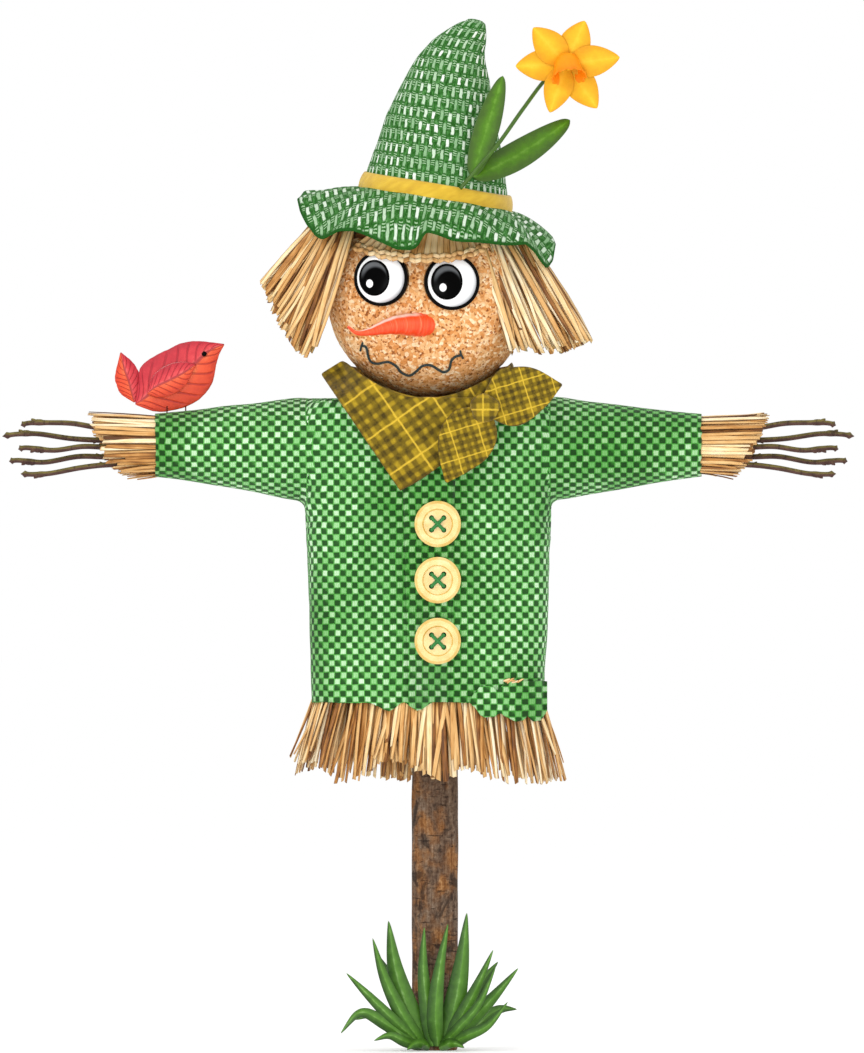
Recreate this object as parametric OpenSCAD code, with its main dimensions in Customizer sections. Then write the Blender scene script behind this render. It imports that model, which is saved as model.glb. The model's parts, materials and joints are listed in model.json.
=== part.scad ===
// Scarecrow figure on a garden stake.
// Millimetres, +Z up, the figure faces -Y. The origin is on the stake's axis at ground level.
// Left and right are as seen by someone who faces the figure.

/* [Stake] */
// Diameter of the pole above the ground
stake_d = 35; // [30:1:38]
// Diameter of the shaved foot that goes into the ground
spike_d = 30; // [20:1:30]
// Length of the straight part of the foot
spike_len = 110; // [80:5:150]
// Length of the point under the foot
point_len = 40; // [20:5:60]

/* [Frame] */
// Height of the cross arm above the ground
arm_z = 452; // [450:1:454]
// Diameter of the cross arm
arm_d = 18; // [14:1:18]
// Diameter of the dowel that carries the head
neck_d = 16; // [12:1:16]

/* [Coat] */
// Half of the coat's width
coat_a = 93.5; // [92:0.5:96]
// Half of the coat's depth, front to back
coat_b = 50; // [48:0.5:52]
// Thickness of the cloth with its lining
cloth_t = 3; // [2:0.5:3]
// Height of the hem above the ground
hem_z = 256; // [250:1:260]
// Distance from the figure's middle to the end of each sleeve
sleeve_reach = 205; // [200:1:210]
// Diameter of each coat button
button_d = 34.6; // [30:0.2:36]

/* [Head] */
// Height of the head's centre above the ground
head_z = 566; // [566:1:570]
// Radius of the head, seen from the front
head_r = 76.5; // [74:0.5:77]
// Half of the head's depth, front to back
head_depth = 56; // [54:1:58]
// Outer diameter of each eye
eye_d = 41.8; // [36:0.2:43]
// Length of the carrot nose
nose_len = 72; // [60:1:80]

/* [Hat] */
// Height of the hat band above the ground
hat_z = 644; // [644:1:648]
// Lean of the hat to the right, in degrees
hat_lean = 9.5; // [9:0.5:10]
// Outer radius of the brim
brim_r = 100; // [96:1:104]
// Length of the daffodil's stem above the band
stem_len = 132; // [120:1:134]

/* [Hidden] */
$fn = 48;

gap = 0.05;                      // clearance round a peg fixed in its hole
figure_x = -5;                   // the figure's middle, beside the stake's axis
stake_top = 488.5;
neck_socket_z = 463.5;           // bottom of the dowel's hole in the stake
neck_top = 552;
head_bore_gap = 0.08;            // running clearance round the neck dowel
coat_top = 490;
coat_corner = 45;                // radius of the coat's rounded sides
stuffing_gap = 0.3;
screw_r = 2;
arm_hole_r = 34;                 // holes in the coat's sides, under the sleeves
shoulder_r = 38.5;               // sleeve radius where it leaves the coat
cuff_r = 22.5;                   // sleeve radius at its end
shoulder_x = 90;                 // distance from the figure's middle to the shoulder
stuffed_reach = 173.5;           // how far the stuffing runs along each arm
cross_arm_reach = 199.5;
cuff_straw_r = 25;               // radius of the straw at the wrist's open end
cuff_straw_reach = 252;
twig_root = 212;                 // distance from the figure's middle to a twig's buried end
twig_r = 2.4;

// One row per twig: reach of the tip, height of the tip and of the root from the
// cross arm's axis, and the depth of the tip and the root
twigs = [
    [306, 20, 13, -6, -5], [320, 9, 6, 5, 5], [308, -1, 0, -2, -3],
    [315, -12, -7, 6, 5], [306, -22, -13, -5, -5]
];

button_x = 2;
button_t = 5;
button_z = [394.5, 352.5, 307];  // top, middle and bottom
button_hole_r = 1.9;
button_hole_at = 4.6;

scarf_t = 2.9;
knot = [37, 481];                // where the scarf is tied, in X and Z

eye_h = 6.5;                     // height of the eye above the head's surface
eye_sink = 5;                    // depth of the eye's socket
left_eye = [-35, 12];            // eye centres from the head's centre, in X and Z
right_eye = [17.5, 9];
eye_turn = [15, -8];             // how far each eye turns outwards, in degrees
nose_at = [-1, -23];             // the nose's thick end from the head's centre
nose_side = 30;                  // angle between the nose and the face, in degrees
nose_r = 8.7;

// The mouth's line from the head's centre, in X and Z
mouth = [
    [-49, -36.5], [-46, -47], [-40, -52], [-31.5, -51.5], [-23.5, -55.5], [-17, -61],
    [-10, -59], [-1.5, -54], [7, -56.5], [12, -58.5], [16.5, -54], [18.5, -48.5], [24.5, -46]
];
mouth_r = 0.8;

band_low = -6;                   // the band's lower and upper edge along the hat's axis
band_high = 5;
band_off = 1.8;                  // room behind the band for the flower's wire
// The crown's outer radius at each height along the hat's axis
crown = [[57.5, -7], [50.5, 25], [43.5, 50], [34, 78], [26, 98], [17, 116], [8, 128]];
crown_t = 2.5;
brim_low = -27;
flower_turn = 18.7;              // where the stem stands on the hat, right of its front
stem_lean = 34;                  // lean of the stem to the right, in the hat's surface
stem_r = 1.5;
wire_r = 0.6;
petal_turn = [12, 70, 130, 177, 247, 308];
flower_neck = 19;                // from the stem's upper end forward to the petals

bird_x = -188;
bird_z = 511;
bird_leg_x = [-201, -187];

// One row per blade of grass: direction round the stake, lean from upright, length, width
blades = [
    [190, 38, 71, 16], [215, 22, 89, 17], [235, 21, 102, 18], [258, 11, 92, 16],
    [285, 10, 93, 16], [305, 9, 102, 18], [325, 22, 79, 17], [310, 37, 76, 15],
    [345, 34, 71, 16], [335, 46, 49, 14], [195, 78, 49, 14], [225, 82, 40, 13],
    [290, 87, 32, 12], [40, 30, 70, 16], [90, 22, 80, 17], [140, 28, 74, 17]
];

// ---- shapes that repeat ----

// The shape shared by two discs that cross, pointed at both ends, along +X from the origin
module leaf_outline(length, width) {
    r = (length * length / 4 + width * width / 4) / width;
    intersection() {
        translate([length / 2, r - width / 2]) circle(r, $fn = 96);
        translate([length / 2, width / 2 - r]) circle(r, $fn = 96);
    }
}

// A flat leaf that stands in the XZ plane at depth y, its far face at y + t
module standing_leaf(at, angle, length, width, y, t) {
    translate([at[0], y + t, at[1]]) rotate([90, 0, 0]) rotate(angle)
        linear_extrude(t) leaf_outline(length, width);
}

// A plate with an outline in X and Z, from depth y to y + t
module standing_plate(points, y, t) {
    translate([0, y + t, 0]) rotate([90, 0, 0]) linear_extrude(t) polygon(points);
}

// The coat's plan, smaller by inset on every side
module coat_plan(inset) {
    a = coat_a - inset;
    b = coat_b - inset;
    r = coat_corner - inset;
    square([2 * (a - r), 2 * b], center = true);
    square([2 * a, 2 * (b - r)], center = true);
    for (x = [-1, 1], y = [-1, 1]) translate([x * (a - r), y * (b - r)]) circle(r);
}

module coat_prism(inset, low, high) {
    translate([figure_x, 0, low]) linear_extrude(high - low) coat_plan(inset);
}

function sleeve_r(x) =
    shoulder_r - (x - shoulder_x) * (shoulder_r - cuff_r) / (sleeve_reach - shoulder_x);

// A round bar or cone along the arm on one side, from x0 to x1 off the figure's middle
module along_arm(side, x0, x1, r0, r1) {
    translate([figure_x + side * x0, 0, arm_z]) rotate([0, side * 90, 0])
        cylinder(h = x1 - x0, r1 = r0, r2 = r1);
}

// Stands its children on the line from point p to point q
module from_to(p, q) {
    d = q - p;
    translate(p) rotate([0, acos(d[2] / norm(d)), atan2(d[1], d[0])]) children();
}

function twig_root_at(side, t) =
    [figure_x + side * twig_root, t[4], arm_z + t[2]];
function twig_tip_at(side, t) =
    [figure_x + side * t[0], t[3], arm_z + t[1]];

// Depth of the head's surface at a distance from its middle, from the front
head_power = 2.4;
function head_y(d) = -head_depth * pow(1 - pow(min(d / head_r, 1), head_power), 1 / head_power);

// The head's solid, grown by extra
module head_solid(extra) {
    steps = 21;
    outline = [for (i = [0:steps])
        let (t = 180 * i / steps, c = pow(sin(t), 2 / head_power),
             s = sign(cos(t)) * pow(abs(cos(t)), 2 / head_power))
        [i == 0 || i == steps ? 0 : (head_r + extra) * c, (head_depth + extra) * s]];
    translate([figure_x, 0, head_z]) rotate([90, 0, 0])
        rotate_extrude($fn = 96) polygon(outline);
}

// Sets its children on the face, +Z out of the head
module on_face(at, turn) {
    translate([figure_x + at[0], head_y(norm(at)), head_z + at[1]])
        rotate([0, 0, -turn]) rotate([90, 0, 0]) children();
}

module eye_frame(side) {
    if (side < 0) on_face(left_eye, eye_turn[0]) children();
    else on_face(right_eye, eye_turn[1]) children();
}

module nose_frame() {
    translate([figure_x + nose_at[0], head_y(norm(nose_at)) - 2, head_z + nose_at[1]])
        rotate([0, 0, nose_side]) rotate([0, -90, 0]) children();
}

module hat_frame() {
    translate([2, 0, hat_z]) rotate([0, hat_lean, 0]) children();
}

crown_slope = atan((crown[0][0] - crown[1][0]) / (crown[1][1] - crown[0][1]));

// The flower's frame: +Z up the stem, -Y out of the hat, origin behind the band
module flower_frame() {
    wire_off = wire_r + 0.25;
    hat_frame() rotate([0, 0, flower_turn])
        translate([0, -crown[0][0] + (0 - crown[0][1]) * tan(crown_slope) - wire_off, 0])
            rotate([-crown_slope, 0, 0]) rotate([0, stem_lean, 0]) children();
}

// Turns its children back so that they face -Y with +Z up, at the stem's upper end
module flower_head_frame() {
    flower_frame() translate([0, -1, stem_len]) rotate([0, -stem_lean, 0])
        rotate([crown_slope, 0, 0]) rotate([0, 0, -flower_turn]) rotate([0, -hat_lean, 0])
            children();
}

// ---- the frame of the figure ----

module stake() {
    color("sienna") difference() {
        union() {
            cylinder(h = stake_top, d = stake_d);
            translate([0, 0, -spike_len]) cylinder(h = spike_len, d = spike_d);
            translate([0, 0, -spike_len - point_len])
                cylinder(h = point_len, d1 = 4, d2 = spike_d);
        }
        translate([-30, 0, arm_z]) rotate([0, 90, 0]) cylinder(h = 60, r = arm_d / 2 + gap);
        translate([figure_x, 0, neck_socket_z]) cylinder(h = 40, r = neck_d / 2 + gap);
        screw_hole();
    }
}

module screw_hole() {
    translate([0, -30, arm_z]) rotate([-90, 0, 0]) cylinder(h = 44, r = screw_r + gap);
}

module neck_dowel() {
    color("burlywood") translate([figure_x, 0, neck_socket_z + gap])
        cylinder(h = neck_top - neck_socket_z - gap, d = neck_d);
}

module cross_arm() {
    color("burlywood") difference() {
        translate([figure_x - cross_arm_reach, 0, arm_z]) rotate([0, 90, 0])
            cylinder(h = 2 * cross_arm_reach, d = arm_d);
        screw_hole();
    }
}

module arm_screw() {
    color("silver") {
        translate([0, -stake_d / 2 - gap, arm_z]) rotate([-90, 0, 0]) cylinder(h = 31, r = screw_r);
        translate([0, -stake_d / 2 - 3, arm_z]) rotate([-90, 0, 0]) cylinder(h = 3 - gap, r = 4.5);
    }
}

module straw_stuffing() {
    color("khaki") difference() {
        union() {
            coat_prism(cloth_t + stuffing_gap, hem_z + 7, coat_top - cloth_t - stuffing_gap);
            for (side = [-1, 1]) {
                along_arm(side, 60, 97, arm_hole_r - 0.5, arm_hole_r - 0.5);
                along_arm(side, 97, stuffed_reach, arm_hole_r - 0.5,
                          sleeve_r(stuffed_reach) - cloth_t - stuffing_gap);
            }
        }
        translate([0, 0, hem_z]) cylinder(h = 260, d = stake_d + 0.2);
        translate([figure_x - 260, 0, arm_z]) rotate([0, 90, 0]) cylinder(h = 520, d = arm_d + 0.2);
        translate([0, -stake_d / 2 - 4, arm_z]) rotate([-90, 0, 0]) cylinder(h = 10, r = 5);
        bird_leg_holes();
    }
}

// ---- the coat ----

module coat_body() {
    color("mediumseagreen") difference() {
        coat_prism(0, hem_z, coat_top);
        coat_prism(cloth_t, hem_z - 1, coat_top - cloth_t);
        translate([figure_x, 0, coat_top - 10]) cylinder(h = 20, r = 30);
        for (side = [-1, 1]) along_arm(side, 50, 100, arm_hole_r, arm_hole_r);
    }
}

module sleeve(side) {
    color("seagreen") difference() {
        along_arm(side, 74, sleeve_reach, sleeve_r(74), cuff_r);
        along_arm(side, 73, sleeve_reach + 1, sleeve_r(73) - cloth_t,
                  sleeve_r(sleeve_reach + 1) - cloth_t);
        coat_prism(-gap, 300, coat_top + 20);
        bird_leg_holes();
    }
}

module left_sleeve() sleeve(-1);
module right_sleeve() sleeve(1);

module hem_patch() {
    color("lightgreen") intersection() {
        difference() {
            coat_prism(-1.6, hem_z - 8, hem_z + 22);
            coat_prism(-gap, hem_z - 10, hem_z + 24);
        }
        translate([21, -80, hem_z - 20]) cube([64, 55, 60]);
    }
}

module straw_skirt() {
    top_inset = cloth_t + 0.5;
    flare = 1.17;
    color("goldenrod") difference() {
        union() {
            coat_prism(top_inset, hem_z - 0.1, hem_z + 6.7);
            translate([figure_x, 0, hem_z]) mirror([0, 0, 1])
                linear_extrude(53, scale = flare) coat_plan(top_inset);
        }
        translate([0, 0, hem_z - 60]) cylinder(h = 80, d = stake_d + 2);
    }
}

module straw_cuff(side) {
    color("goldenrod") difference() {
        union() {
            along_arm(side, 174, sleeve_reach + 0.1, cuff_r - cloth_t - 0.3,
                      cuff_r - cloth_t - 0.3);
            along_arm(side, sleeve_reach, cuff_straw_reach, cuff_r - cloth_t - 0.3, cuff_straw_r);
        }
        along_arm(side, 170, 200, arm_d / 2 + 0.1, arm_d / 2 + 0.1);
        for (t = twigs) from_to(twig_root_at(side, t), twig_tip_at(side, t))
            translate([0, 0, -gap]) cylinder(h = 60, r = twig_r + gap);
        bird_leg_holes();
    }
}

module left_straw_cuff() straw_cuff(-1);
module right_straw_cuff() straw_cuff(1);

module twig(side, i) {
    t = twigs[i];
    p = twig_root_at(side, t);
    q = twig_tip_at(side, t);
    length = norm(q - p);
    color("saddlebrown") from_to(p, q) {
        cylinder(h = 0.72 * length, r = twig_r);
        translate([0, 0, 0.72 * length]) cylinder(h = 0.28 * length, r1 = twig_r, r2 = 0.8);
        translate([0, 0, 0.66 * length]) sphere(3.4, $fn = 24);
    }
}

// ---- scarf and buttons ----

module scarf_collar() {
    color("olive") translate([figure_x, 0, 0]) rotate_extrude()
        polygon([[51, coat_top], [62, coat_top], [62, 500], [58, 506], [51, 506]]);
}

module scarf_drape() {
    color("olive")
        standing_plate([[-72, 488], [-26, 419], [6, 438], [30, 470], [40, 488]],
                       -coat_b - gap - scarf_t, scarf_t);
}

module scarf_upper_tail() {
    color("darkkhaki") standing_leaf(knot, 16.6, 60, 38, -coat_b - 5.3, 2.2);
}

module scarf_lower_tail() {
    color("darkkhaki") standing_leaf(knot, 242, 62, 38, -coat_b - 7.6, 2.2);
}

module scarf_knot() {
    color("olive") translate([knot[0], -coat_b - 7.7, knot[1]]) rotate([90, 0, 0]) {
        cylinder(h = 4, r = 11);
        translate([0, 0, 4]) cylinder(h = 3, r1 = 11, r2 = 7);
    }
}

module button(z) {
    r = button_d / 2;
    color("khaki") translate([button_x, -coat_b - gap, z]) rotate([90, 0, 0]) difference() {
        rotate_extrude() polygon([[0, 0], [r - 2, 0], [r, 2], [r, 3.5], [r - 2, button_t],
                                  [11.5, button_t], [10.5, 3.5], [0, 3.5]]);
        for (x = [-1, 1], y = [-1, 1])
            translate([x * button_hole_at, y * button_hole_at, -1])
                cylinder(h = 8, r = button_hole_r);
    }
}

module top_button() button(button_z[0]);
module middle_button() button(button_z[1]);
module bottom_button() button(button_z[2]);

module button_threads() {
    bar_r = 1.3;
    leg_r = 1.1;
    over = 3.5 + bar_r + gap;
    crossing = 0.7;              // how much higher the upper bar lies
    color("darkgreen") for (z = button_z)
        translate([button_x, -coat_b - gap, z]) rotate([90, 0, 0]) {
            for (i = [0, 1]) rotate(45 + 90 * i) translate([-6.9, 0, over + crossing * i])
                rotate([0, 90, 0]) cylinder(h = 13.8, r = bar_r);
            for (x = [-1, 1], y = [-1, 1])
                translate([x * button_hole_at, y * button_hole_at, 0])
                    cylinder(h = over, r = leg_r);
        }
}

// ---- grass round the foot ----

module grass_tuft() {
    color("forestgreen") difference() {
        union() {
            rotate_extrude() polygon([[10, 0], [34, 0], [30, 6], [22, 10], [10, 10]]);
            for (b = blades) rotate([0, 0, b[0]]) translate([24, 0, 3]) rotate([0, b[1], 0])
                translate([-1.2, 0, 0]) rotate([90, 0, 90]) rotate(90)
                    linear_extrude(2.4) leaf_outline(b[2], b[3]);
        }
        translate([0, 0, -1]) cylinder(h = 140, d = stake_d + 0.4);
        translate([-150, -150, -20]) cube([300, 300, 20]);
    }
}

// ---- the head ----

module head_ball() {
    color("peru") difference() {
        head_solid(0);
        translate([figure_x, 0, head_z - 90])
            cylinder(h = neck_top + 0.5 - head_z + 90, r = neck_d / 2 + head_bore_gap);
        for (side = [-1, 1]) eye_frame(side) translate([0, 0, -eye_sink])
            cylinder(h = 40, r = eye_d / 2 + gap);
        nose_frame() translate([0, 0, -1]) cylinder(h = 40, r = nose_r + gap);
    }
}

module eye_rim(side) {
    r = eye_d / 2;
    color("black") eye_frame(side) rotate_extrude()
        polygon([[r - 2.2, -eye_sink + gap], [r, -eye_sink + gap], [r, 2], [r - 1, 3],
                 [r - 2.2, 3]]);
}

module eye_white(side) {
    r = eye_d / 2 - 2.2 - gap;
    color("white") eye_frame(side) difference() {
        rotate_extrude() polygon([[0, -eye_sink + gap], [r, -eye_sink + gap], [r, 2.5],
                                  [r - 4, 4], [r - 9, 5], [0, 5.4]]);
        translate([-4.3, 1, 3]) cylinder(h = 10, r = 12.5 + gap);
    }
}

module pupil(side) {
    color("black") eye_frame(side) translate([-4.3, 1, 3 + gap]) rotate_extrude()
        polygon([[0, 0], [12.5, 0], [12.5, 1.5], [9, 3], [0, eye_h - 3]]);
}

module left_eye_rim() eye_rim(-1);
module right_eye_rim() eye_rim(1);
module left_eye_white() eye_white(-1);
module right_eye_white() eye_white(1);
module left_pupil() pupil(-1);
module right_pupil() pupil(1);

module carrot_nose() {
    color("orangered") nose_frame() {
        cylinder(h = 16, r = nose_r);
        translate([0, 0, 16]) cylinder(h = nose_len - 16, r1 = nose_r, r2 = 1.2);
    }
}

function mouth_point(p) =
    [figure_x + p[0], head_y(norm(p)) - mouth_r - 0.6, head_z + p[1]];

// A tube of 6 sides that follows the mouth's points across the face
module mouth_thread() {
    sides = 6;
    n = len(mouth);
    function along(i) = mouth[min(i + 1, n - 1)] - mouth[max(i - 1, 0)];
    function across(i) = let (d = along(i)) [-d[1], 0, d[0]] / norm(d);
    points = [for (i = [0:n - 1], k = [0:sides - 1])
        mouth_point(mouth[i]) + mouth_r * (cos(360 * k / sides) * across(i)
                                           + sin(360 * k / sides) * [0, 1, 0])];
    faces = concat(
        [[for (k = [0:sides - 1]) k]],
        [[for (k = [sides - 1:-1:0]) (n - 1) * sides + k]],
        [for (i = [0:n - 2], k = [0:sides - 1])
            let (a = i * sides + k, b = i * sides + (k + 1) % sides)
            [a, a + sides, b + sides, b]]);
    color("darkslategray") polyhedron(points, faces);
}

module hair_left() {
    color("goldenrod") difference() {
        standing_plate([[-65, 618], [-90, 622], [-131, 574], [-117, 545], [-98, 518],
                        [-85, 540], [-78, 575]], -50, 86);
        head_solid(0.2);
    }
}

module hair_right() {
    color("goldenrod") difference() {
        standing_plate([[36, 606], [68, 606], [118, 531], [101, 522], [72, 520], [56, 528],
                        [46, 560], [40, 585]], -52, 88);
        head_solid(0.2);
    }
}

// The straw on top of the head that the hat sits on, with the hair behind the head
module hair_back() {
    color("goldenrod") difference() {
        union() {
            hat_frame() rotate_extrude()
                polygon([[0, -26], [63, -26], [61, -16], [54, -11.8], [48, -6], [0, -5]]);
            hat_frame() translate([-50, 35, -42]) cube([96, 20, 20]);
            translate([figure_x - 52, 38, 522]) cube([104, 26, 90]);
        }
        head_solid(0.2);
    }
}

module hair_fringe() {
    color("burlywood") difference() {
        standing_plate([[-61, 606], [-61, 600], [-38, 592], [-5, 588], [18, 590], [34, 597],
                        [35, 606]], -66, 36);
        head_solid(0.2);
        for (side = [-1, 1]) eye_frame(side) translate([0, 0, -eye_sink])
            cylinder(h = eye_sink + eye_h + 0.8, r = eye_d / 2 + 0.3);
    }
}

// ---- the hat ----

module hat_crown() {
    n = len(crown);
    outer = concat(crown, [[0, crown[n - 1][1] + 3]]);
    inner = [for (i = [n - 1:-1:0])
        [crown[i][0] - crown_t, i == 0 ? crown[0][1] : crown[i][1] - 1]];
    color("seagreen") hat_frame() rotate_extrude($fn = 72)
        polygon(concat(outer, [[0, crown[n - 1][1]]], inner));
}

module hat_brim() {
    top = crown[0];
    inner_r = top[0] - crown_t;
    color("seagreen") hat_frame() rotate_extrude($fn = 72)
        polygon([[inner_r, top[1] - gap], [top[0], top[1] - gap], [brim_r, brim_low],
                 [brim_r, brim_low - 3], [inner_r, top[1] - 4]]);
}

module hat_band() {
    function crown_r(w) = crown[0][0] - (w - crown[0][1]) * tan(crown_slope);
    color("gold") hat_frame() rotate_extrude($fn = 72)
        polygon([[crown_r(band_low) + band_off, band_low],
                 [crown_r(band_low) + band_off + 1.6, band_low],
                 [crown_r(band_high) + band_off + 1.6, band_high],
                 [crown_r(band_high) + band_off, band_high]]);
}

// ---- the daffodil ----

module flower_stem() {
    color("green") {
        flower_frame() {
            translate([0, 0, -6]) cylinder(h = 20, r = wire_r, $fn = 24);
            translate([0, -1, 9]) cylinder(h = stem_len - 9, r = stem_r, $fn = 24);
        }
        flower_head_frame() {
            sphere(2.6, $fn = 24);
            rotate([90, 0, 0]) cylinder(h = flower_neck - gap, r1 = 2.2, r2 = 3.6);
        }
    }
}

// A leaf beside the stem, leaning away from it in the hat's surface
module flower_leaf(turn, length, width, off) {
    color("darkgreen") flower_frame() translate([0, off, 18]) rotate([0, turn, 0])
        rotate([90, 0, 0]) rotate(90) linear_extrude(1.5) leaf_outline(length, width);
}

module flower_leaf_upper() flower_leaf(-22, 78, 21, -2.6);
module flower_leaf_lower() flower_leaf(21, 84, 24, -4.2);

module petals() {
    color("gold") flower_head_frame() translate([0, -flower_neck, 0]) rotate([90, 0, 0])
        linear_extrude(1.5) for (a = petal_turn) rotate(a) leaf_outline(38, 22);
}

module flower_corona() {
    color("orange") flower_head_frame() translate([0, -flower_neck - 1.6, 0]) rotate([90, 0, 0])
        rotate_extrude() polygon([[0, 0], [8, 0], [10, 10], [13, 18], [12, 18], [9, 10],
                                  [7, 1.5], [0, 1.5]]);
}

module stamens() {
    color("yellow") flower_head_frame() translate([0, -flower_neck - 3.2, 0]) rotate([90, 0, 0]) {
        cylinder(h = 12, r = 1.1, $fn = 24);
        for (a = [0:60:300]) rotate(a) translate([3.6, 0, 0]) cylinder(h = 9, r = 0.7, $fn = 24);
    }
}

// ---- the leaf bird on the left sleeve ----

module bird_body() {
    color("crimson") standing_leaf([bird_x - 29, bird_z - 20], 34.5, 71, 38, -2, 4);
}

module bird_wing() {
    color("tomato") standing_leaf([bird_x - 24, bird_z - 14], 33, 44, 19, -4.3, 2.2);
}

module bird_tail() {
    color("tomato") standing_leaf([bird_x - 24, bird_z - 20], 122, 42, 19, 2.1, 2);
}

module bird_legs() {
    color("dimgray") for (x = bird_leg_x)
        translate([x, 0, 461]) cylinder(h = leg_top(x) - 461 - gap, r = 0.6, $fn = 24);
}

// Height at which a leg meets the lower edge of the bird's body
function leg_top(x) =
    let (length = 71, width = 38, r = (length * length / 4 + width * width / 4) / width,
         turn = 34.5, cx = bird_x - 29 + length / 2 * cos(turn) - (r - width / 2) * sin(turn),
         cz = bird_z - 20 + length / 2 * sin(turn) + (r - width / 2) * cos(turn))
    cz - sqrt(r * r - (x - cx) * (x - cx));

module bird_leg_holes() {
    for (x = bird_leg_x) translate([x, 0, 460]) cylinder(h = 40, r = 1, $fn = 24);
}

module bird_eye() {
    color("black") translate([bird_x + 15, -2 - gap, bird_z + 11]) rotate([90, 0, 0])
        cylinder(h = 1.6, r1 = 1.7, r2 = 1, $fn = 24);
}

stake();
neck_dowel();
cross_arm();
arm_screw();
straw_stuffing();
coat_body();
left_sleeve();
right_sleeve();
hem_patch();
straw_skirt();
left_straw_cuff();
right_straw_cuff();
twig(-1, 0);  // left_twig_1
twig(-1, 1);  // left_twig_2
twig(-1, 2);  // left_twig_3
twig(-1, 3);  // left_twig_4
twig(-1, 4);  // left_twig_5
twig(1, 0);  // right_twig_1
twig(1, 1);  // right_twig_2
twig(1, 2);  // right_twig_3
twig(1, 3);  // right_twig_4
twig(1, 4);  // right_twig_5
scarf_collar();
scarf_drape();
scarf_upper_tail();
scarf_lower_tail();
scarf_knot();
top_button();
middle_button();
bottom_button();
button_threads();
grass_tuft();
head_ball();
left_eye_rim();
right_eye_rim();
left_eye_white();
right_eye_white();
left_pupil();
right_pupil();
carrot_nose();
mouth_thread();
hair_left();
hair_right();
hair_back();
hair_fringe();
hat_crown();
hat_brim();
hat_band();
flower_stem();
flower_leaf_upper();
flower_leaf_lower();
petals();
flower_corona();
stamens();
bird_body();
bird_wing();
bird_tail();
bird_legs();
bird_eye();
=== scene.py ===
"""The visual model of the scarecrow figure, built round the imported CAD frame.

Shapes are worked out in millimetres in the CAD's frame: +Z up, the figure faces -Y, ground at 0.
"""
import json
import math
import random

import bmesh
import bpy
import numpy as np
from mathutils import Matrix, Vector, noise


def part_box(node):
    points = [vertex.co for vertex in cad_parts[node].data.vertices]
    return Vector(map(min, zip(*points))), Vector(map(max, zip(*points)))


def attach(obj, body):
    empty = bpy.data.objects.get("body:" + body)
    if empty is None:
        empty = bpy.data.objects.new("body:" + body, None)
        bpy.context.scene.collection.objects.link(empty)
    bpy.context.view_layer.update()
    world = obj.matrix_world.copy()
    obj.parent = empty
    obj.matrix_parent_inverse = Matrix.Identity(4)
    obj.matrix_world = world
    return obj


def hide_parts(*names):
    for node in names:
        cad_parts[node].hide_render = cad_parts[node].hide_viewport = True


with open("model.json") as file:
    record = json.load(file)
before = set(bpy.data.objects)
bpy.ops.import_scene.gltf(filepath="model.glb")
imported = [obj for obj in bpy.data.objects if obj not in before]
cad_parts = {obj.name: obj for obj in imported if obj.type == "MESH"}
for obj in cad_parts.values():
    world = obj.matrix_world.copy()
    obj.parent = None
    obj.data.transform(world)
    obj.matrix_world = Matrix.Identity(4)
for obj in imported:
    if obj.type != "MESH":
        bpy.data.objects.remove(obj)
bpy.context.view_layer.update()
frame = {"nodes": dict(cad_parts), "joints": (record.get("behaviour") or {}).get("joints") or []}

MM = 0.001
TAU = 2 * math.pi


def box_mm(node):
    """A CAD node's lowest and highest corner, in millimetres."""
    low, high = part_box(node)
    return Vector(low) / MM, Vector(high) / MM


def middle(node):
    low, high = box_mm(node)
    return (low + high) / 2


# ---- places that the pieces share, read from the frame, and shapes that it does not give ----

coat_low, coat_high = box_mm("coat_body")
head_low, head_high = box_mm("head_ball")
figure_x = middle("coat_body").x
arm_z = middle("cross_arm").z
head = Vector((figure_x, 0, middle("head_ball").z))
head_r = (head_high.x - head_low.x) / 2
head_depth = (head_high.y - head_low.y) / 2
head_power = 2.4          # how square the head is; 2 would be an ellipsoid
hem_z = coat_low.z
sleeve_reach = figure_x - box_mm("left_sleeve")[0].x
hat_axis = Vector(next(j for j in frame["joints"] if j["name"] == "hat_lift")["axis"])
hat_lean = math.atan2(hat_axis.x, hat_axis.z)
hat_middle = middle("hat_band") + 0.5 * hat_axis
hat_middle.y = 0
stake_low, stake_high = box_mm("stake")
stake_r = (stake_high.x - stake_low.x) / 2

COAT_HALF_DEPTH = 48.5
CORNER_POWER = 4.2        # how square the coat's corners are, seen from above
CUFF_Z = 453.5
PANEL_PLAID = 0.87        # scale of the plaid on the scarf's panel and collar
LOBE_PLAID = 1.29         # and on its two tails, where it is finer


# ---- camera, light and floor ----

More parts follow.
